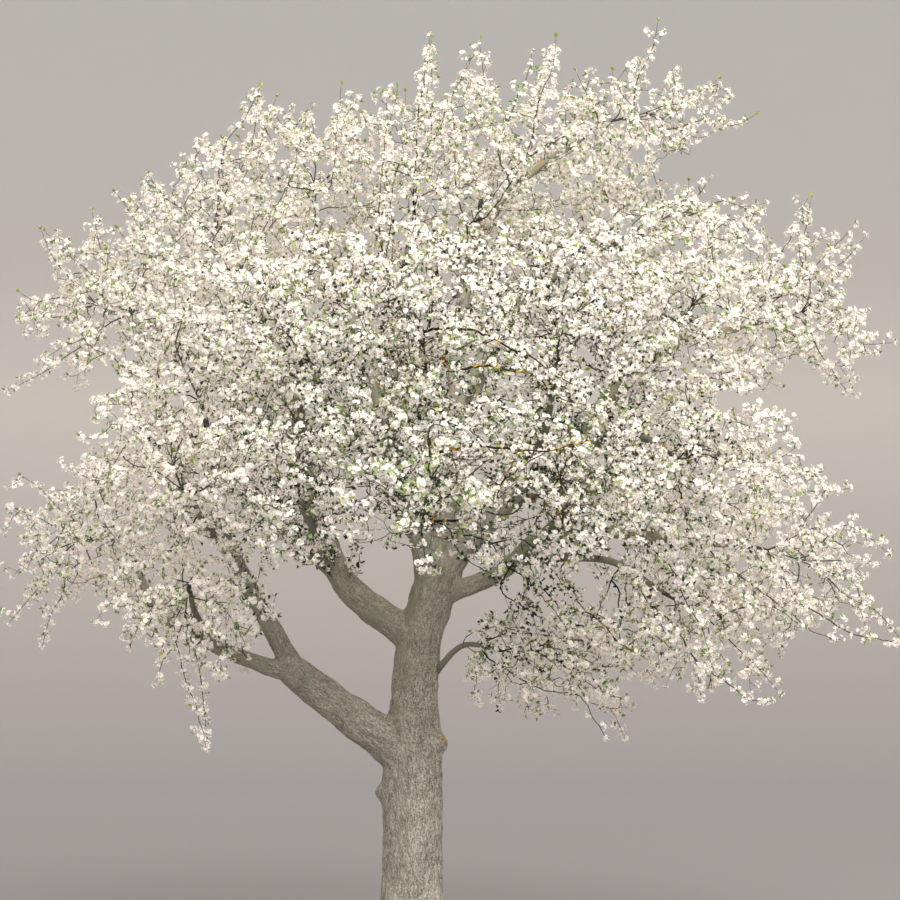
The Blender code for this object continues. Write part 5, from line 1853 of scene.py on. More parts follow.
@dataclass
class Foliage:
    """The young leaves: a few among the flowers of each cluster, and tufts at the tips of the wands."""

    half_width: float = 0.27
    widest_at: float = 0.45
    fold: float = 0.10
    lift: float = 0.15
    per_cluster: tuple[int, int] = (2, 4)
    outer_share: float = 0.40
    outer_rim: float = 0.53
    deep: float = 0.50
    deep_rim: float = 0.42
    per_tuft: tuple[int, int] = (5, 8)
    lengths: tuple[float, float] = (0.032, 0.056)
    tuft_lengths: tuple[float, float] = (0.034, 0.056)
    # Share of sprays whose leaves inside the crown take the dark green of painted shade
    deep_share: float = 0.75
    rim_spread: float = 0.15
    more_inside: int = 3
    spread: tuple[float, float] = (0.6, 1.7)
    tuft_spread: tuple[float, float] = (0.2, 0.9)
    stalk: float = 0.012
    pale_share: float = 0.15

    def model_leaf(self) -> Shape:
        """Models one leaf from a plane: pointed at both ends and folded up from its midrib."""
        made = start_primitive(bpy.ops.mesh.primitive_plane_add, size=1.0, location=(0, 0, 0))
        turn_by(-45)
        stretch(self.half_width / math.sqrt(0.5), math.sqrt(0.5))
        move(0, 0.5, 0)
        select_corners(made, lambda place: abs(place.x) > 0.5 * self.half_width)
        move(0, self.widest_at - 0.5, self.fold)
        return take_shape(made)

    def dress(self, name: str, clusters: Clusters, chance: np.random.Generator) -> bpy.types.Object:
        """Makes the leaves of a region.

        Args:
            name: The piece's name.
            clusters: The region's clusters.
            chance: The source of random numbers.

        Returns:
            The piece.
        """
        leaf = self.model_leaf()
        few = chance.integers(*self.per_cluster, len(clusters.ends), endpoint=True)
        many = chance.integers(*self.per_tuft, len(clusters.ends), endpoint=True)
        outer = clusters.rims + chance.uniform(-self.rim_spread, self.rim_spread, len(few)) > self.outer_rim
        few = np.where(outer & (chance.uniform(size=len(few)) > self.outer_share), 0, few)
        inside = (clusters.depths < self.deep) & (clusters.rims < self.deep_rim)
        few = np.where(inside, few + self.more_inside, few)
        counts = np.where(clusters.leafy, many, few)
        owner = np.repeat(np.arange(len(counts)), counts)
        tuft = clusters.leafy[owner]
        axis = clusters.headings[owner]
        total = len(owner)

        def either(in_tuft: tuple[float, float], in_cluster: tuple[float, float]) -> Array:
            """A random value for each leaf, from the first range in a tuft and from the second elsewhere."""
            values = [chance.uniform(*reach, total) for reach in (in_tuft, in_cluster)]
            return np.where(tuft, *values)

        ring = frames_facing(axis, chance.uniform(0, FULL_TURN, total))[:, 0]
        spread = either(self.tuft_spread, self.spread)
        pointing = units(circle(spread, axis, ring) + (0, 0, self.lift))
        upper = units(np.cross(np.cross(pointing, axis + (0, 0, 0.3)), pointing))
        frames = np.stack([np.cross(pointing, upper), pointing, upper], axis=1)
        lengths = either(self.tuft_lengths, self.lengths)
        places = clusters.ends[owner] + pointing * np.where(tuft, 0.0, self.stalk)[:, None]
        points, faces = leaf.copies(places, frames, lengths)
        # Leaves inside the crown on most sprays take the dark green as painted shade
        dealt = chance.uniform(size=clusters.sprays.max() + 1) < self.deep_share
        colours = np.where(tuft, LEAF_TIP, dealt[clusters.sprays[owner]] & ~outer[owner])
        colours = np.where(~tuft & (chance.uniform(size=total) < self.pale_share), LEAF_TIP, colours)
        finishes = [finish.build() for finish in LEAVES]
        return joined_piece(name, points, faces, finishes, np.repeat(colours, len(leaf.faces)))


@dataclass(frozen=True)
class TwigBark:
    """The thin bark of twigs: a dark base, paler where it has weathered or where lichen grows."""

    name: str
    dark: str
    pale: str
    roughness: float = 0.82
    specular: float = 0.25
    fleck: float = 0.012
    bare: float = 0.44
    fringe: float = 0.12

    def build(self) -> bpy.types.Material:
        """The bark as a material, with flecks about as long as the twig is thick."""
        material, tree, shader = new_material(self.name, self.roughness, self.specular)
        place = add_node(tree, "ShaderNodeTexCoord").outputs["Object"]
        noise = add_node(tree, "ShaderNodeTexNoise", Vector=place, Scale=1 / self.fleck, Detail=2.0)
        stops = ((self.bare, self.dark), (self.bare + self.fringe, self.pale))
        tree.links.new(colour_ramp(tree, noise.outputs["Fac"], stops), shader.inputs["Base Color"])
        return material


# Twig bark: near black on twigs deep in the crown, which is painted shade, smooth dark grey-brown on the
# outer shoots, warmer where it ages, crusted with orange lichen inside
TWIG_BARKS = (
    TwigBark("twig_bark_dark", "#121110", "#292623"),
    TwigBark("twig_bark_grey", "#37332E", "#665F55"),
    TwigBark("twig_bark_lichened", "#1E1C1A", "#BE962F", fleck=0.036, bare=0.50),
    TwigBark("twig_bark_stem", "#3E3B36", "#77726A", fleck=0.022),
)
# Numbers of single barks in that row
LICHENED, STEM_WOOD = 2, 3


@dataclass
class Twigs:
    """The twigs of a region as tapering tubes, and the short spurs that hold the clusters."""

    sides: int = 3
    stem_sides: int = 6
    spur_radius: float = 0.0024
    lichen_within: float = 0.62
    lichen_share: float = 0.45
    old_wood: float = 0.0125
    stem_slimness: float = 0.42
    slimmed_within: float = 0.55
    # Depth in the crown within which twigs take the near-black bark of painted shade
    grey_from: float = 0.60

    def tube(self, points: Array, radii: Array, sides: int) -> tuple[Array, Array]:
        """Makes a closed tapering tube along a line.

        Args:
            points: The line.
            radii: The radius at each of its points.
            sides: The number of sides.

        Returns:
            The corners and the triangles.
        """
        tangents = units(np.gradient(points, axis=0))
        side = units(np.cross(tangents[0], ODD_DIRECTION))
        turns = bearings_of(sides)
        rings = []
        for point, tangent, radius in zip(points, tangents, radii):
            side = units(side - tangent * (side @ tangent))
            rings.append(point + radius * circle(turns, side, np.cross(tangent, side)))
        corners = np.concatenate([*rings, points[-1:] + tangents[-1:] * radii[-1], points[:1]])
        faces = []
        last = (len(points) - 1) * sides
        for k in range(sides):
            following = (k + 1) % sides
            for ring in range(0, last, sides):
                low, low_next = ring + k, ring + following
                faces.append((low, low_next, low_next + sides))
                faces.append((low, low_next + sides, low + sides))
            faces.append((last + k, last + following, len(corners) - 2))
            faces.append((following, k, len(corners) - 1))
        return corners, np.array(faces)

    def dress(
        self,
        name: str,
        shoots: list[Shoot],
        stems: list[Path],
        clusters: Clusters,
        chance: np.random.Generator,
    ) -> bpy.types.Object:
        """Makes the stems, twigs and spurs of a region.

        Args:
            name: The piece's name.
            shoots: The region's twigs.
            stems: The stems of its masses.
            clusters: The clusters that its spurs hold.
            chance: The source of random numbers.

        Returns:
            The piece.
        """
        parts, colours = [], []
        for stem in stems:
            points = meander(stem.points[::4])
            radii = np.array([stem.radius(s) for s in stem.along[::4]])
            slimness = np.maximum(1 - stem.along[::4] / self.slimmed_within, self.stem_slimness)
            parts.append(self.tube(points, radii * slimness, self.stem_sides))
            colours.append(STEM_WOOD)
        depths = depth_in_crown(np.array([shoot.points[0] for shoot in shoots]))
        for shoot, depth in zip(shoots, depths):
            radii = np.linspace(shoot.foot_radius, shoot.tip_radius, len(shoot.points))
            parts.append(self.tube(shoot.points, radii, self.sides))
            crusted = depth < self.lichen_within and chance.uniform() < self.lichen_share
            # Twigs deep in the crown take the near-black bark as painted shade, the outer ones the grey bark
            grey = depth + chance.uniform(-0.15, 0.15) > self.grey_from
            colours.append(LICHENED if crusted or shoot.foot_radius > self.old_wood else int(grey))
        parts = [(*tube, np.full(len(tube[1]), colour)) for tube, colour in zip(parts, colours)]
        spur = Shape(np.array([(1, 0, 0), (-0.5, 0.87, 0), (-0.5, -0.87, 0), (0, 0, 1)]), SPUR_FACES)
        runs = clusters.ends - clusters.feet
        lengths = np.linalg.norm(runs, axis=1)
        frames = frames_facing(units(runs), np.zeros(len(runs)))
        frames = frames * np.stack([np.full(len(runs), self.spur_radius)] * 2 + [lengths], axis=1)[:, :, None]
        spur_points, spur_faces = spur.copies(clusters.feet, frames, np.ones(len(runs)))
        spur_colours = np.array(colours[len(stems) :])[clusters.sprays]
        parts.append((spur_points, spur_faces, np.repeat(spur_colours, len(SPUR_FACES))))
        points, faces, dealt = gather(parts)
        finishes = [bark.build() for bark in TWIG_BARKS]
        return joined_piece(name, points, faces, finishes, dealt)


def cell_value(cells: Array, seed: int) -> Array:
    """A repeatable random value from 0 to 1 for each cell of a lattice."""
    x, y, z = np.moveaxis(cells, -1, 0)
    mixed = (x * 73856093) ^ (y * 19349663) ^ (z * 83492791) ^ (seed * 265443576)
    mixed = (mixed ^ (mixed >> 13)) * 1274126177
    mixed = mixed ^ (mixed >> 16)
    return (mixed & 0xFFFFFF) / 0xFFFFFF


def grain(points: Array, cell: float, seed: int) -> Array:
    """Reads a smooth random field, whose grains have the size of a cell, at the given points."""
    scaled = points / cell
    low = np.floor(scaled).astype(np.int64)
    share = scaled - low
    share = share * share * (3 - 2 * share)
    total = np.zeros(len(points))
    for corner in product((0, 1), repeat=3):
        weight = np.where(np.array(corner) == 1, share, 1 - share).prod(axis=1)
        total += weight * cell_value(low + np.array(corner), seed)
    return total


def streaks(points: Array, headings: Array, cell: float, reach: float, seed: int) -> Array:
    """Draws the random field out along the limbs, so that its grains become streaks.

    Args:
        points: Where it is read.
        headings: The direction of the limb at each point.
        cell: The width of a streak.
        reach: Half its length.
        seed: The number of the field.

    Returns:
        A value for each point, about 0 to 1.
    """
    shifts = np.linspace(-reach, reach, STREAK_READINGS)
    mean = sum(grain(points + headings * shift, cell, seed) for shift in shifts) / STREAK_READINGS
    return np.clip(0.5 + STREAK_CONTRAST * (mean - 0.5), 0, 1)


@dataclass(frozen=True)
class FissuredBark:
    """The bark of an old fruit tree: corky plates in short streaks along the limb, with algae and lichen.

    It gives the eye a matt, mottled skin of grey-brown flakes over dark cracks, greener where damp lies.
    """

    name: str
    crack: str
    hollow: str
    plate: str
    ridge: str
    moss: str = "#9FA08B"
    lichen: str = "#C08A2C"
    roughness: float = 0.92
    specular: float = 0.18
    grit: float = 0.011
    streak: float = 0.014
    streak_reach: float = 0.010
    streak_contrast: float = 2.6
    mottle: float = 0.120
    level: float = -0.62
    bump: tuple[tuple[float, float], ...] = ((0.5, 0.002), (0.9, 0.005))

    def streaks(self, tree: bpy.types.NodeTree, place: bpy.types.NodeSocket) -> bpy.types.NodeSocket:
        """Draws a noise as wide as one flake out along the limb, and returns its height."""
        heading = add_node(tree, "ShaderNodeAttribute", {"attribute_name": "heading"}).outputs["Vector"]
        total: bpy.types.NodeSocket | float = 0.0
        shifts = np.linspace(-self.streak_reach, self.streak_reach, SHADER_READINGS)
        for shift in shifts:
            moved = add_node(tree, "ShaderNodeVectorMath", {"operation": "MULTIPLY_ADD"},
                             i0=heading, i1=(shift, shift, shift), i2=place)
            noise = add_node(tree, "ShaderNodeTexNoise", Vector=moved.outputs[0],
                             Scale=1 / self.streak, Detail=1.5, Roughness=0.6)
            total = add_node(tree, "ShaderNodeMath", {"operation": "ADD"},
                             i0=noise.outputs["Fac"], i1=total).outputs[0]
        gain = self.streak_contrast / SHADER_READINGS
        level = add_node(tree, "ShaderNodeMath", {"operation": "MULTIPLY_ADD", "use_clamp": True},
                         i0=total, i1=gain, i2=0.5 - 0.5 * self.streak_contrast)
        return level.outputs[0]

    def build(self) -> bpy.types.Material:
        """The bark as a material that reads the relief, headings, moss and lichen of the mesh."""
        material, tree, shader = new_material(self.name, self.roughness, self.specular)
        place = add_node(tree, "ShaderNodeTexCoord").outputs["Object"]
        relief, moss, lichen = (
            add_node(tree, "ShaderNodeAttribute", {"attribute_name": name}).outputs["Fac"]
            for name in ("relief", "moss", "lichen")
        )
        streak = self.streaks(tree, place)
        mottle = add_node(tree, "ShaderNodeTexNoise", Vector=place, Scale=1 / self.mottle, Detail=3.0)
        grit = add_node(tree, "ShaderNodeTexNoise", Vector=place, Scale=1 / self.grit, Detail=3.0,
                        Roughness=0.7)
        height: bpy.types.NodeSocket | float = self.level
        shares = ((streak, 0.50), (relief, 0.16), (mottle.outputs["Fac"], 0.30), (grit.outputs["Fac"], 1.30))
        for reading, share in shares:
            height = add_node(tree, "ShaderNodeMath", {"operation": "MULTIPLY_ADD"},
                              i0=reading, i1=share, i2=height).outputs[0]
        stops = ((0.16, self.crack), (0.38, self.hollow), (0.58, self.plate), (0.82, self.ridge))
        colour = colour_ramp(tree, height, stops)
        for amount, tone in ((moss, self.moss), (lichen, self.lichen)):
            colour = add_node(tree, "ShaderNodeMix", {"data_type": "RGBA"},
                              i0=amount, i6=colour, i7=linear_colour(tone)).outputs[2]
        tree.links.new(colour, shader.inputs["Base Color"])
        (grit_strength, grit_depth), (flake_strength, flake_depth) = self.bump
        fine = add_node(tree, "ShaderNodeBump", Strength=grit_strength, Distance=grit_depth,
                        Height=grit.outputs["Fac"])
        flakes = add_node(tree, "ShaderNodeBump", Strength=flake_strength, Distance=flake_depth,
                          Height=streak, Normal=fine.outputs["Normal"])
        tree.links.new(flakes.outputs["Normal"], shader.inputs["Normal"])
        return material


# Old wood is greyer and beige on its ridges, thinner wood stays darker and smoother
TRUNK_BARK = FissuredBark("bark_old_fruitwood", "#33302C", "#7E786F", "#BAB2A5", "#F0E8DC")
BOUGH_BARK = FissuredBark("bark_bough_fruitwood", "#3E3C37", "#79756C", "#A8A398", "#D6CEC2")
BRANCH_BARK = FissuredBark("bark_branch_fruitwood", "#262423", "#45423E", "#67635C", "#8B867D",
                           roughness=0.88)


@dataclass
class Bark:
    """One skin of bark over the trunk and limbs, grown together at the forks and cut into three pieces."""

    trunk_sides: int = 48
    trunk_rings: int = 120
    bough_sides: int = 18
    ring_spacing: float = 0.035
    voxel: float = 0.013
    smoothing: int = 10
    near_length: float = 1.15
    plate_width: float = 0.032
    plate_reach: float = 0.055
    streak_width: float = 0.016
    streak_reach: float = 0.020
    plate_depth: float = 0.0100
    streak_depth: float = 0.0060
    lump_depth: float = 0.016
    lump_size: float = 0.19
    knot_size: float = 0.075
    knot_depth: float = 0.012
    blend: float = 0.045
    least_relief: float = 0.12
    fine_share: float = 0.38
    moss_from: float = 1.7
    moss_rise: float = 1.3
    moss_shares: tuple[float, float, float] = (0.12, 0.30, 0.32)
    moss_patch: float = 0.10
    lichen_sizes: tuple[float, float] = (0.035, 0.11)
    lichen_threshold: float = 0.42
    lichen_edge: float = 8.0
    lichen_from: float = 3.2
    softening: float = 0.5
    trunk_reach: float = 0.24
    past_parent: float = 0.10
    full_relief_radius: float = 0.16

    def column(self, name: str, rings: list[Array]) -> bpy.types.Object:
        """Raises a column by extruding a disc ring by ring, then lays each ring in its place along the limb.

        Args:
            name: The column's name.
            rings: The corners of each ring.

        Returns:
            The column.
        """
        sides = len(rings[0])
        made = start_primitive(
            bpy.ops.mesh.primitive_circle_add, vertices=sides, radius=1.0, fill_type="NGON"
        )
        bpy.ops.mesh.select_all(action="SELECT")
        bpy.ops.mesh.extrude_repeat(steps=len(rings) - 1, offset=(0.0, 0.0, 1.0))
        bpy.ops.object.mode_set(mode="OBJECT")
        made.name = name
        x, y, z = read_mesh(made.data.vertices, "co", 3).T
        corner = np.round(np.arctan2(y, x) / (2 * math.pi / sides)).astype(int) % sides
        laid = np.array(rings)[np.round(z).astype(int), corner]
        made.data.vertices.foreach_set("co", laid.ravel())
        made.data.update()
        return made

    def trunk_rings_of(self, path: Path) -> list[Array]:
        """The trunk's outlines from the ground up, with the lobes of its root flare and its burrs."""
        rings = []
        bearings = bearings_of(self.trunk_sides)
        outward = circle(bearings, np.array((1, 0, 0)), np.array((0, 1, 0)))
        for distance in np.linspace(0, path.length, self.trunk_rings):
            point, tangent, _ = path.at(distance)
            height = point[2]
            fade = math.exp(-height / FLARE_FADE)
            lobes = 1 + FLARE_LOBE_DEPTH * np.cos(FLARE_LOBES * bearings + FLARE_LOBES_TURNED)
            swollen = trunk_radius(height) * (1 + FLARE_SWELL * fade * lobes)
            for burr_height, burr_bearing, swell, spread in TRUNK_BURRS:
                facing = np.maximum(0.0, np.cos(bearings - math.radians(burr_bearing)))
                rise = math.exp(-(((height - burr_height) / spread) ** 2))
                swollen = swollen + swell * facing**BURR_NARROWNESS * rise
            level = units(outward - np.outer(outward @ tangent, tangent)) if height > 0 else outward
            rings.append(point + swollen[:, None] * level)
        return rings

    def limb_rings(self, path: Path) -> list[Array]:
        """A limb's outlines from inside its parent to its tip."""
        count = max(4, math.ceil(path.length / self.ring_spacing))
        return [path.ring(s, self.bough_sides) for s in np.linspace(0, path.length, count)]

    def rounded_end(self, path: Path, last: Array) -> list[Array]:
        """The shrinking rings past the end of a limb."""
        end, tangent, _ = path.at(path.length)
        radius = np.linalg.norm(last - end, axis=1).mean()
        return [end + tangent * radius * beyond + (last - end) * scale for beyond, scale in LIMB_ENDS]

    def raise_wood(self, paths: dict[str, Path]) -> bpy.types.Object:
        """Raises all columns and grows them together into one closed skin.

        Args:
            paths: The centre lines of the trunk and limbs.

        Returns:
            The skin, still smooth.
        """
        columns = []
        for name, path in paths.items():
            rings = self.trunk_rings_of(path) if name == "trunk" else self.limb_rings(path)
            columns.append(self.column(name + "_column", rings + self.rounded_end(path, rings[-1])))
        select_only(columns)
        bpy.ops.object.join()
        skin = bpy.context.object
        grown = skin.modifiers.new("grown_together", "REMESH")
        grown.mode = "VOXEL"
        grown.voxel_size = self.voxel
        bpy.ops.object.modifier_apply(modifier=grown.name)
        softened = skin.modifiers.new("softened", "SMOOTH")
        softened.factor = self.softening
        softened.iterations = self.smoothing
        bpy.ops.object.modifier_apply(modifier=softened.name)
        return skin

    def read_limbs(self, points: Array, paths: dict[str, Path]) -> tuple[Array, Array, Array, Array]:
        """Finds the limb that each point of the skin belongs to.

        Args:
            points: The skin's points.
            paths: The centre lines.

        Returns:
            For each point the blended direction of the limbs near it, the number of the nearest limb, the
            distance along that limb, and its radius there.
        """
        tables = []
        for number, (name, path) in enumerate(paths.items()):
            along = path.along[::2]
            radii = trunk_radius(path.points[::2, 2])
            if name != "trunk":
                radii = np.array([path.radius(s) for s in along])
            owners = np.full(len(along), number)
            tables.append((path.points[::2], path.tangents[::2], owners, along, radii))
        places, headings, *readings = (np.concatenate(rows) for rows in zip(*tables))
        directions = np.empty_like(points)
        nearest = np.empty(len(points), int)
        for start in range(0, len(points), SKIN_BLOCK):
            block = points[start : start + SKIN_BLOCK]
            squared = (block**2).sum(axis=1)[:, None] + (places**2).sum(axis=1) - 2 * block @ places.T
            away = np.sqrt(np.maximum(squared, 0.0)) - readings[-1]
            nearest[start : start + SKIN_BLOCK] = away.argmin(axis=1)
            weights = np.exp(-np.maximum(away - away.min(axis=1)[:, None], 0) / self.blend)
            directions[start : start + SKIN_BLOCK] = weights @ headings
        return units(directions), *(rows[nearest] for rows in readings)

    def carve(self, skin: bpy.types.Object, paths: dict[str, Path]) -> tuple[Array, Array]:
        """Raises the relief of the bark on the skin, and notes its ridges, moss and lichen for the finish.

        Args:
            skin: The smooth skin.
            paths: The centre lines.

        Returns:
            The number of the nearest limb and the distance along it, for each point.
        """
        mesh = skin.data
        points = read_mesh(mesh.vertices, "co", 3)
        normals = read_mesh(mesh.vertex_normals, "vector", 3)
        directions, owners, along, radii = self.read_limbs(points, paths)
        points = meander(points)
        plates = streaks(points, directions, self.plate_width, self.plate_reach, 3)
        fine = streaks(points, directions, self.streak_width, self.streak_reach, 7)
        plates = plates * plates * (3 - 2 * plates)
        lumps = grain(points, self.lump_size, 11) - 0.5
        knots = grain(points, self.knot_size, 13) - 0.5
        scale = np.clip(radii / self.full_relief_radius, self.least_relief, 1.0)
        height = self.plate_depth * (plates - 0.6) + self.streak_depth * (fine - 0.5)
        height += self.lump_depth * lumps + self.knot_depth * knots
        points = points + normals * (height * scale)[:, None]
        points[points[:, 2] < FOOT_FLAT, 2] = 0.0
        mesh.vertices.foreach_set("co", points.ravel())
        relief = np.clip((1 - self.fine_share) * plates + self.fine_share * fine, 0, 1)
        left = np.clip(0.5 - 0.6 * normals[:, 0], 0, 1)
        high = np.clip((points[:, 2] - self.moss_from) / self.moss_rise, 0, 1)
        everywhere, on_left, high_up = self.moss_shares
        moss = everywhere + on_left * left + high_up * high
        moss = moss * (0.55 + 0.9 * grain(points, self.moss_patch, 17))
        crusts, patches = self.lichen_sizes
        crusted = grain(points, crusts, 19) * grain(points, patches, 23) - self.lichen_threshold
        crusted = np.clip(crusted * self.lichen_edge, 0, 1)
        above = np.clip((points[:, 2] - self.lichen_from) / 1.0, 0.02, 1)
        lichen = crusted * above * np.clip(0.5 + 0.5 * normals[:, 2], 0, 1)
        grains = np.clip(grain(points, 0.02, 29) * 2, 0, 1)
        for *place, spread in LICHEN_SPOTS:
            away = np.linalg.norm(points - place, axis=1) / spread
            lichen = np.maximum(lichen, np.clip(1.6 - 1.3 * away, 0, 1) * grains)
        for name, values in (("relief", relief), ("moss", moss), ("lichen", lichen)):
            values = np.clip(values, 0, 1).astype(np.float32)
            mesh.attributes.new(name, "FLOAT", "POINT").data.foreach_set("value", values)
        heading = mesh.attributes.new("heading", "FLOAT_VECTOR", "POINT")
        heading.data.foreach_set("vector", directions.astype(np.float32).ravel())
        mesh.update()
        return owners, along

    def cut_pieces(self, skin: bpy.types.Object, paths: dict[str, Path], owners: Array, along: Array) -> dict:
        """Cuts the skin into the near wood, the boughs and the branches, and closes each cut.

        Args:
            skin: The carved skin.
            paths: The centre lines.
            owners: The number of the nearest limb of each point.
            along: The distance along that limb.

        Returns:
            The three pieces by name.
        """
        names = list(paths)
        kinds = np.zeros(len(names), int)
        cuts = np.full(len(names), OUT_OF_REACH)
        for limb in LIMBS:
            number = names.index(limb.name)
            parent = paths[limb.parent]
            parent_radius = 0.5 * (parent.foot_radius + parent.tip_radius)
            if limb.parent == "trunk":
                parent_radius = self.trunk_reach
            kinds[number] = 2 if limb.name.startswith("branch") else 1
            cuts[number] = parent_radius + self.past_parent
            if limb.name.startswith("bough") and limb.parent == "trunk":
                cuts[number] = self.near_length
        kind = np.where(along > cuts[owners], kinds[owners], 0)
        return split_skin(skin, kind, ("bark_trunk", "bark_boughs", "bark_branches"))


def split_skin(skin: bpy.types.Object, kind: Array, names: Sequence[str]) -> dict[str, bpy.types.Object]:
    """Splits a skin by the kind of its points, each part a closed object of its own.

    Args:
        skin: The skin.
        kind: The number of each point's part.
        names: The parts' names.

    Returns:
        The parts by name.
    """
    parts = {}
    for number, name in enumerate(names):
        part = skin.copy()
        part.data = skin.data.copy()
        part.name = name
        part.data.name = name
        bpy.context.scene.collection.objects.link(part)
        select_only([part])
        starts = read_mesh(part.data.polygons, "loop_start")
        firsts = read_mesh(part.data.loops, "vertex_index")[starts]
        bpy.ops.object.mode_set(mode="EDIT")
        select_in(part, "FACE", kind[firsts] != number)
        bpy.ops.mesh.delete(type="FACE")
        bpy.ops.mesh.select_all(action="SELECT")
        bpy.ops.mesh.fill_holes(sides=0)
        bpy.ops.object.mode_set(mode="OBJECT")
        bpy.ops.object.shade_smooth_by_angle(angle=math.radians(55))
        parts[name] = part
    bpy.data.objects.remove(skin, do_unlink=True)
    return parts


@dataclass(frozen=True)
class StudioPlaster:
    """The matt plaster of the studio, with painted shade that makes it a little deeper towards the floor and
    the ceiling, like soft haze.
    """

    roughness: float = 0.95
    specular: float = 0.1
    reach: float = 110.0
    levels: tuple[tuple[float, str], ...] = (
        (8.0, "#928E8D"), (21.0, "#9A9695"), (34.0, "#A29F9E"), (46.0, "#A8A5A4"), (54.0, "#B1ACAA"),
        (61.0, "#BEB8B3"), (66.0, "#C6C0BC"), (72.0, "#D8D1CB"), (80.0, "#CFCCC8"), (87.0, "#C9C7C4")
    )

    def build(self) -> bpy.types.Material:
        """The plaster as a material that reads how far out and up a place lies in the bowl."""
        material, tree, shader = new_material("studio_plaster", self.roughness, self.specular)
        place = add_node(tree, "ShaderNodeTexCoord").outputs["Object"]
        height = add_node(tree, "ShaderNodeSeparateXYZ", Vector=place).outputs["Z"]
        flat = add_node(tree, "ShaderNodeVectorMath", {"operation": "MULTIPLY"}, i0=place, i1=(1, 1, 0))
        out = add_node(tree, "ShaderNodeVectorMath", {"operation": "LENGTH"}, i0=flat.outputs[0])
        way = add_node(tree, "ShaderNodeMath", {"operation": "ADD"},
                       i0=out.outputs["Value"], i1=height).outputs[0]
        level = add_node(tree, "ShaderNodeMath", {"operation": "DIVIDE"}, i0=way, i1=self.reach)
        # Painted shade: the ramp darkens the plaster near the floor and towards the top of the wall
        ramp = colour_ramp(tree, level.outputs[0], [(at / self.reach, colour) for at, colour in self.levels])
        tree.links.new(ramp, shader.inputs["Base Color"])
        return material


@dataclass
class Studio:
    """The photograph's camera, a round pale studio and its soft light."""

    floor_radius: float = 60.0
    wall_height: float = 45.0
    cove: float = 18.0
    cove_steps: int = 14
    sides: int = 96
    sky_strength: float = 1.34
    sky_colour: str = "#FFFDFB"
    key_power: float = 4250.0
    key_size: float = 14.0
    key_place: Place = (4.0, -15.0, 16.0)
    key_aim: Place = (0.3, 0.0, 4.5)

    def aim(self, made: bpy.types.Object, place: Place) -> None:
        """Turns a camera or a lamp towards a place."""
        made.rotation_euler = (Vector(place) - made.location).to_track_quat("-Z", "Y").to_euler()

    def set_camera(self) -> bpy.types.Object:
        """Sets the camera where the photograph was taken from, level with its viewing angle."""
        bpy.ops.object.camera_add(location=CAMERA_AT)
        camera = bpy.context.object
        self.aim(camera, CAMERA_AIM)
        camera.data.sensor_width = SENSOR_WIDTH
        camera.data.angle = VIEW_ANGLE
        camera.data.clip_end = 300.0
        bpy.context.scene.camera = camera
        return camera

    def build_room(self) -> bpy.types.Object:
        """Models the floor and wall as one round bowl with a wide cove between them."""
        made = start_primitive(
            bpy.ops.mesh.primitive_circle_add, vertices=self.sides, radius=self.floor_radius, fill_type="NGON"
        )
        bpy.ops.mesh.select_all(action="SELECT")
        bpy.ops.mesh.extrude_region_move(TRANSFORM_OT_translate={"value": (0, 0, self.wall_height)})
        bpy.ops.mesh.delete(type="ONLY_FACE")
        bpy.ops.object.mode_set(mode="OBJECT")
        low = [corner.co.z < 0.1 for corner in made.data.vertices]
        at_floor = [all(low[k] for k in edge.vertices) for edge in made.data.edges]
        bpy.ops.object.mode_set(mode="EDIT")
        select_in(made, "EDGE", at_floor)
        bpy.ops.mesh.bevel(offset=self.cove, segments=self.cove_steps, affect="EDGES")
        bpy.ops.mesh.select_all(action="SELECT")
        bpy.ops.mesh.normals_make_consistent(inside=True)
        bpy.ops.object.mode_set(mode="OBJECT")
        bpy.ops.object.shade_smooth()
        made.name = "studio_room"
        return made

    def light(self) -> None:
        """Lights the studio with an even pale sky and one large soft lamp from the front right."""
        world = bpy.data.worlds.new("studio_sky")
        bpy.context.scene.world = world
        world.use_nodes = True
        sky = world.node_tree.nodes["Background"]
        sky.inputs["Color"].default_value = linear_colour(self.sky_colour)
        sky.inputs["Strength"].default_value = self.sky_strength
        bpy.ops.object.light_add(type="AREA", location=self.key_place)
        lamp = bpy.context.object
        lamp.data.shape = "DISK"
        lamp.data.size = self.key_size
        lamp.data.energy = self.key_power
        self.aim(lamp, self.key_aim)

    def build(self) -> bpy.types.Object:
        """Builds the whole studio.

        Returns:
            The room, which isn't part of the tree.
        """
        self.set_camera()
        room = self.build_room()
        room.data.materials.append(StudioPlaster().build())
        self.light()
        scene = bpy.context.scene
        scene.view_settings.view_transform = "Standard"
        scene.view_settings.look = "None"
        return room


def dress_wood(paths: dict[str, Path]) -> None:
    """Builds the bark and puts it in place of the trunk, boughs and branches.

    Args:
        paths: The centre lines of the trunk and limbs.
    """
    bark = Bark()
    skin = bark.raise_wood(paths)
    owners, along = bark.carve(skin, paths)
    parts = bark.cut_pieces(skin, paths, owners, along)
    boughs = [limb.name for limb in LIMBS if limb.name.startswith("bough")]
    branches = [limb.name for limb in LIMBS if limb.name.startswith("branch")]
    near = [limb.name for limb in LIMBS if limb.name in boughs and limb.parent == "trunk"]
    jobs = (
        ("bark_trunk", TRUNK_BARK, "trunk_bark", ["trunk", *near]),
        ("bark_boughs", BOUGH_BARK, "trunk_bark", boughs),
        ("bark_branches", BRANCH_BARK, "branch_bark", branches),
    )
    for name, finish, slot, nodes in jobs:
        piece = parts[name]
        piece.data.materials.clear()
        piece.data.materials.append(finish.build())
        hand_over(piece, nodes)


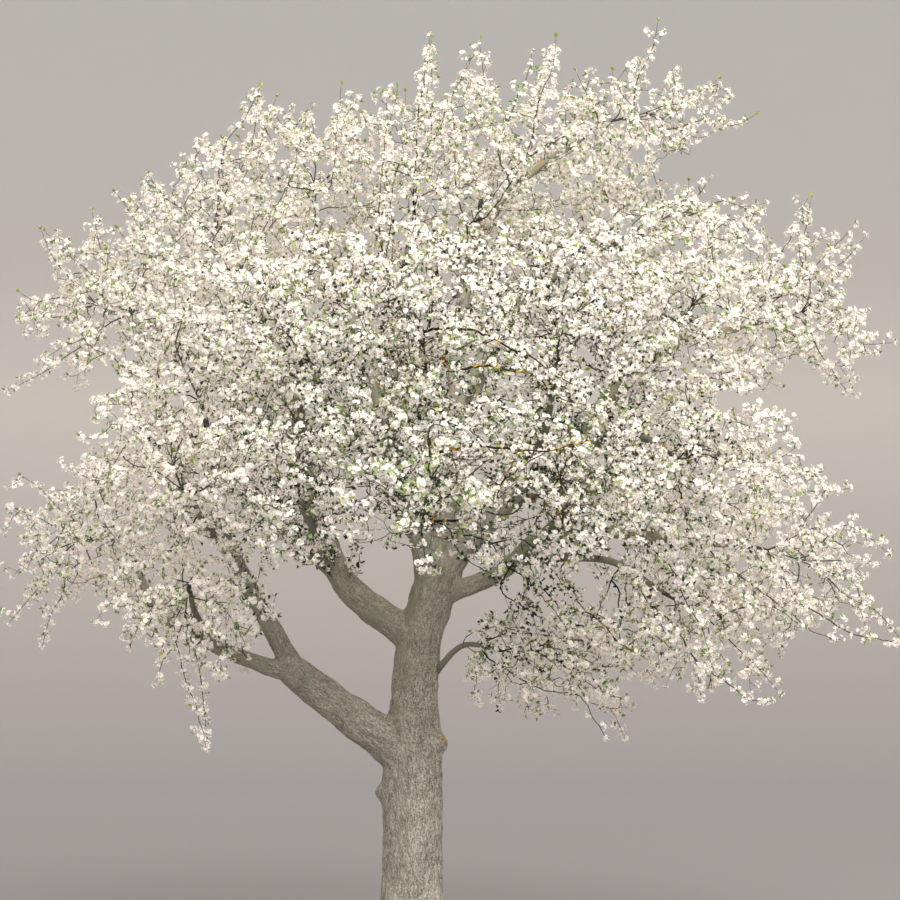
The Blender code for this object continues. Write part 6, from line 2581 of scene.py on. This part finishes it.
def hand_over(piece: bpy.types.Object, nodes: Sequence[str]) -> None:
    """Puts a finished piece on the tree in place of its nodes, and reports it."""
    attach(piece, "root")
    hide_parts(*nodes)
    log.info("%s: %d faces", piece.name, len(piece.data.polygons))


def dress_crown(paths: dict[str, Path]) -> None:
    """Grows the crown region by region and puts it in place of the masses.

    Args:
        paths: The centre lines of the trunk and limbs.
    """
    view = FrontView()
    stems = {mass.name: stem_of(mass, paths) for mass in MASSES}
    obstacles = line_up_obstacles(paths, stems)
    grown: dict[Region, list[Shoot]] = {region: [] for region in Region}
    region_of = {mass.bough: mass.region for mass in MASSES}
    for seed, mass in enumerate(MASSES):
        space = Space(mass)
        rule = MassRule(mass, stems[mass.name], space, obstacles, random.Random(seed))
        chance = np.random.default_rng(CROWN_SEED + seed)
        grown[mass.region] += CrownMass(mass, stems[mass.name], space, view, chance).grow(rule.grow())
    spurs = spurs_along_limbs(paths, view, np.random.default_rng(CROWN_SEED + LIMB_SPURS_STEP))
    for name, shoots in spurs.items():
        grown[region_of.get(name, Region.FRONT)] += shoots
    for region, shoots in grow_seen_shoots(paths, stems).items():
        grown[region] += shoots
    for shoot in chain.from_iterable(grown.values()):
        shoot.points = meander(shoot.points)
    for number, (region, shoots) in enumerate(grown.items()):
        chance = np.random.default_rng(CROWN_SEED + REGIONS_STEP + number)
        masses = [mass for mass in MASSES if mass.region is region]
        clusters = seat_clusters(shoots, view, chance)
        log.info("%s: %d twigs, %d clusters", region.value, len(shoots), len(clusters.ends))
        nodes = [mass.name for mass in masses]
        own_stems = [stems[mass.name] for mass in masses]
        twigs = Twigs().dress(f"twigs_{region.value}", shoots, own_stems, clusters, chance)
        hand_over(twigs, nodes)
        leaves = Foliage().dress(f"leaves_{region.value}", clusters, chance)
        hand_over(leaves, nodes)
        for piece in Blossom().dress(f"flowers_{region.value}", clusters, chance):
            hand_over(piece, nodes)


def main() -> None:
    """Builds the tree's looks around its frame, piece by piece."""
    logging.basicConfig(level=logging.INFO, format="%(message)s")
    Studio().build()
    paths = build_skeleton()
    dress_wood(paths)
    dress_crown(paths)


if __name__ == "__main__":
    main()
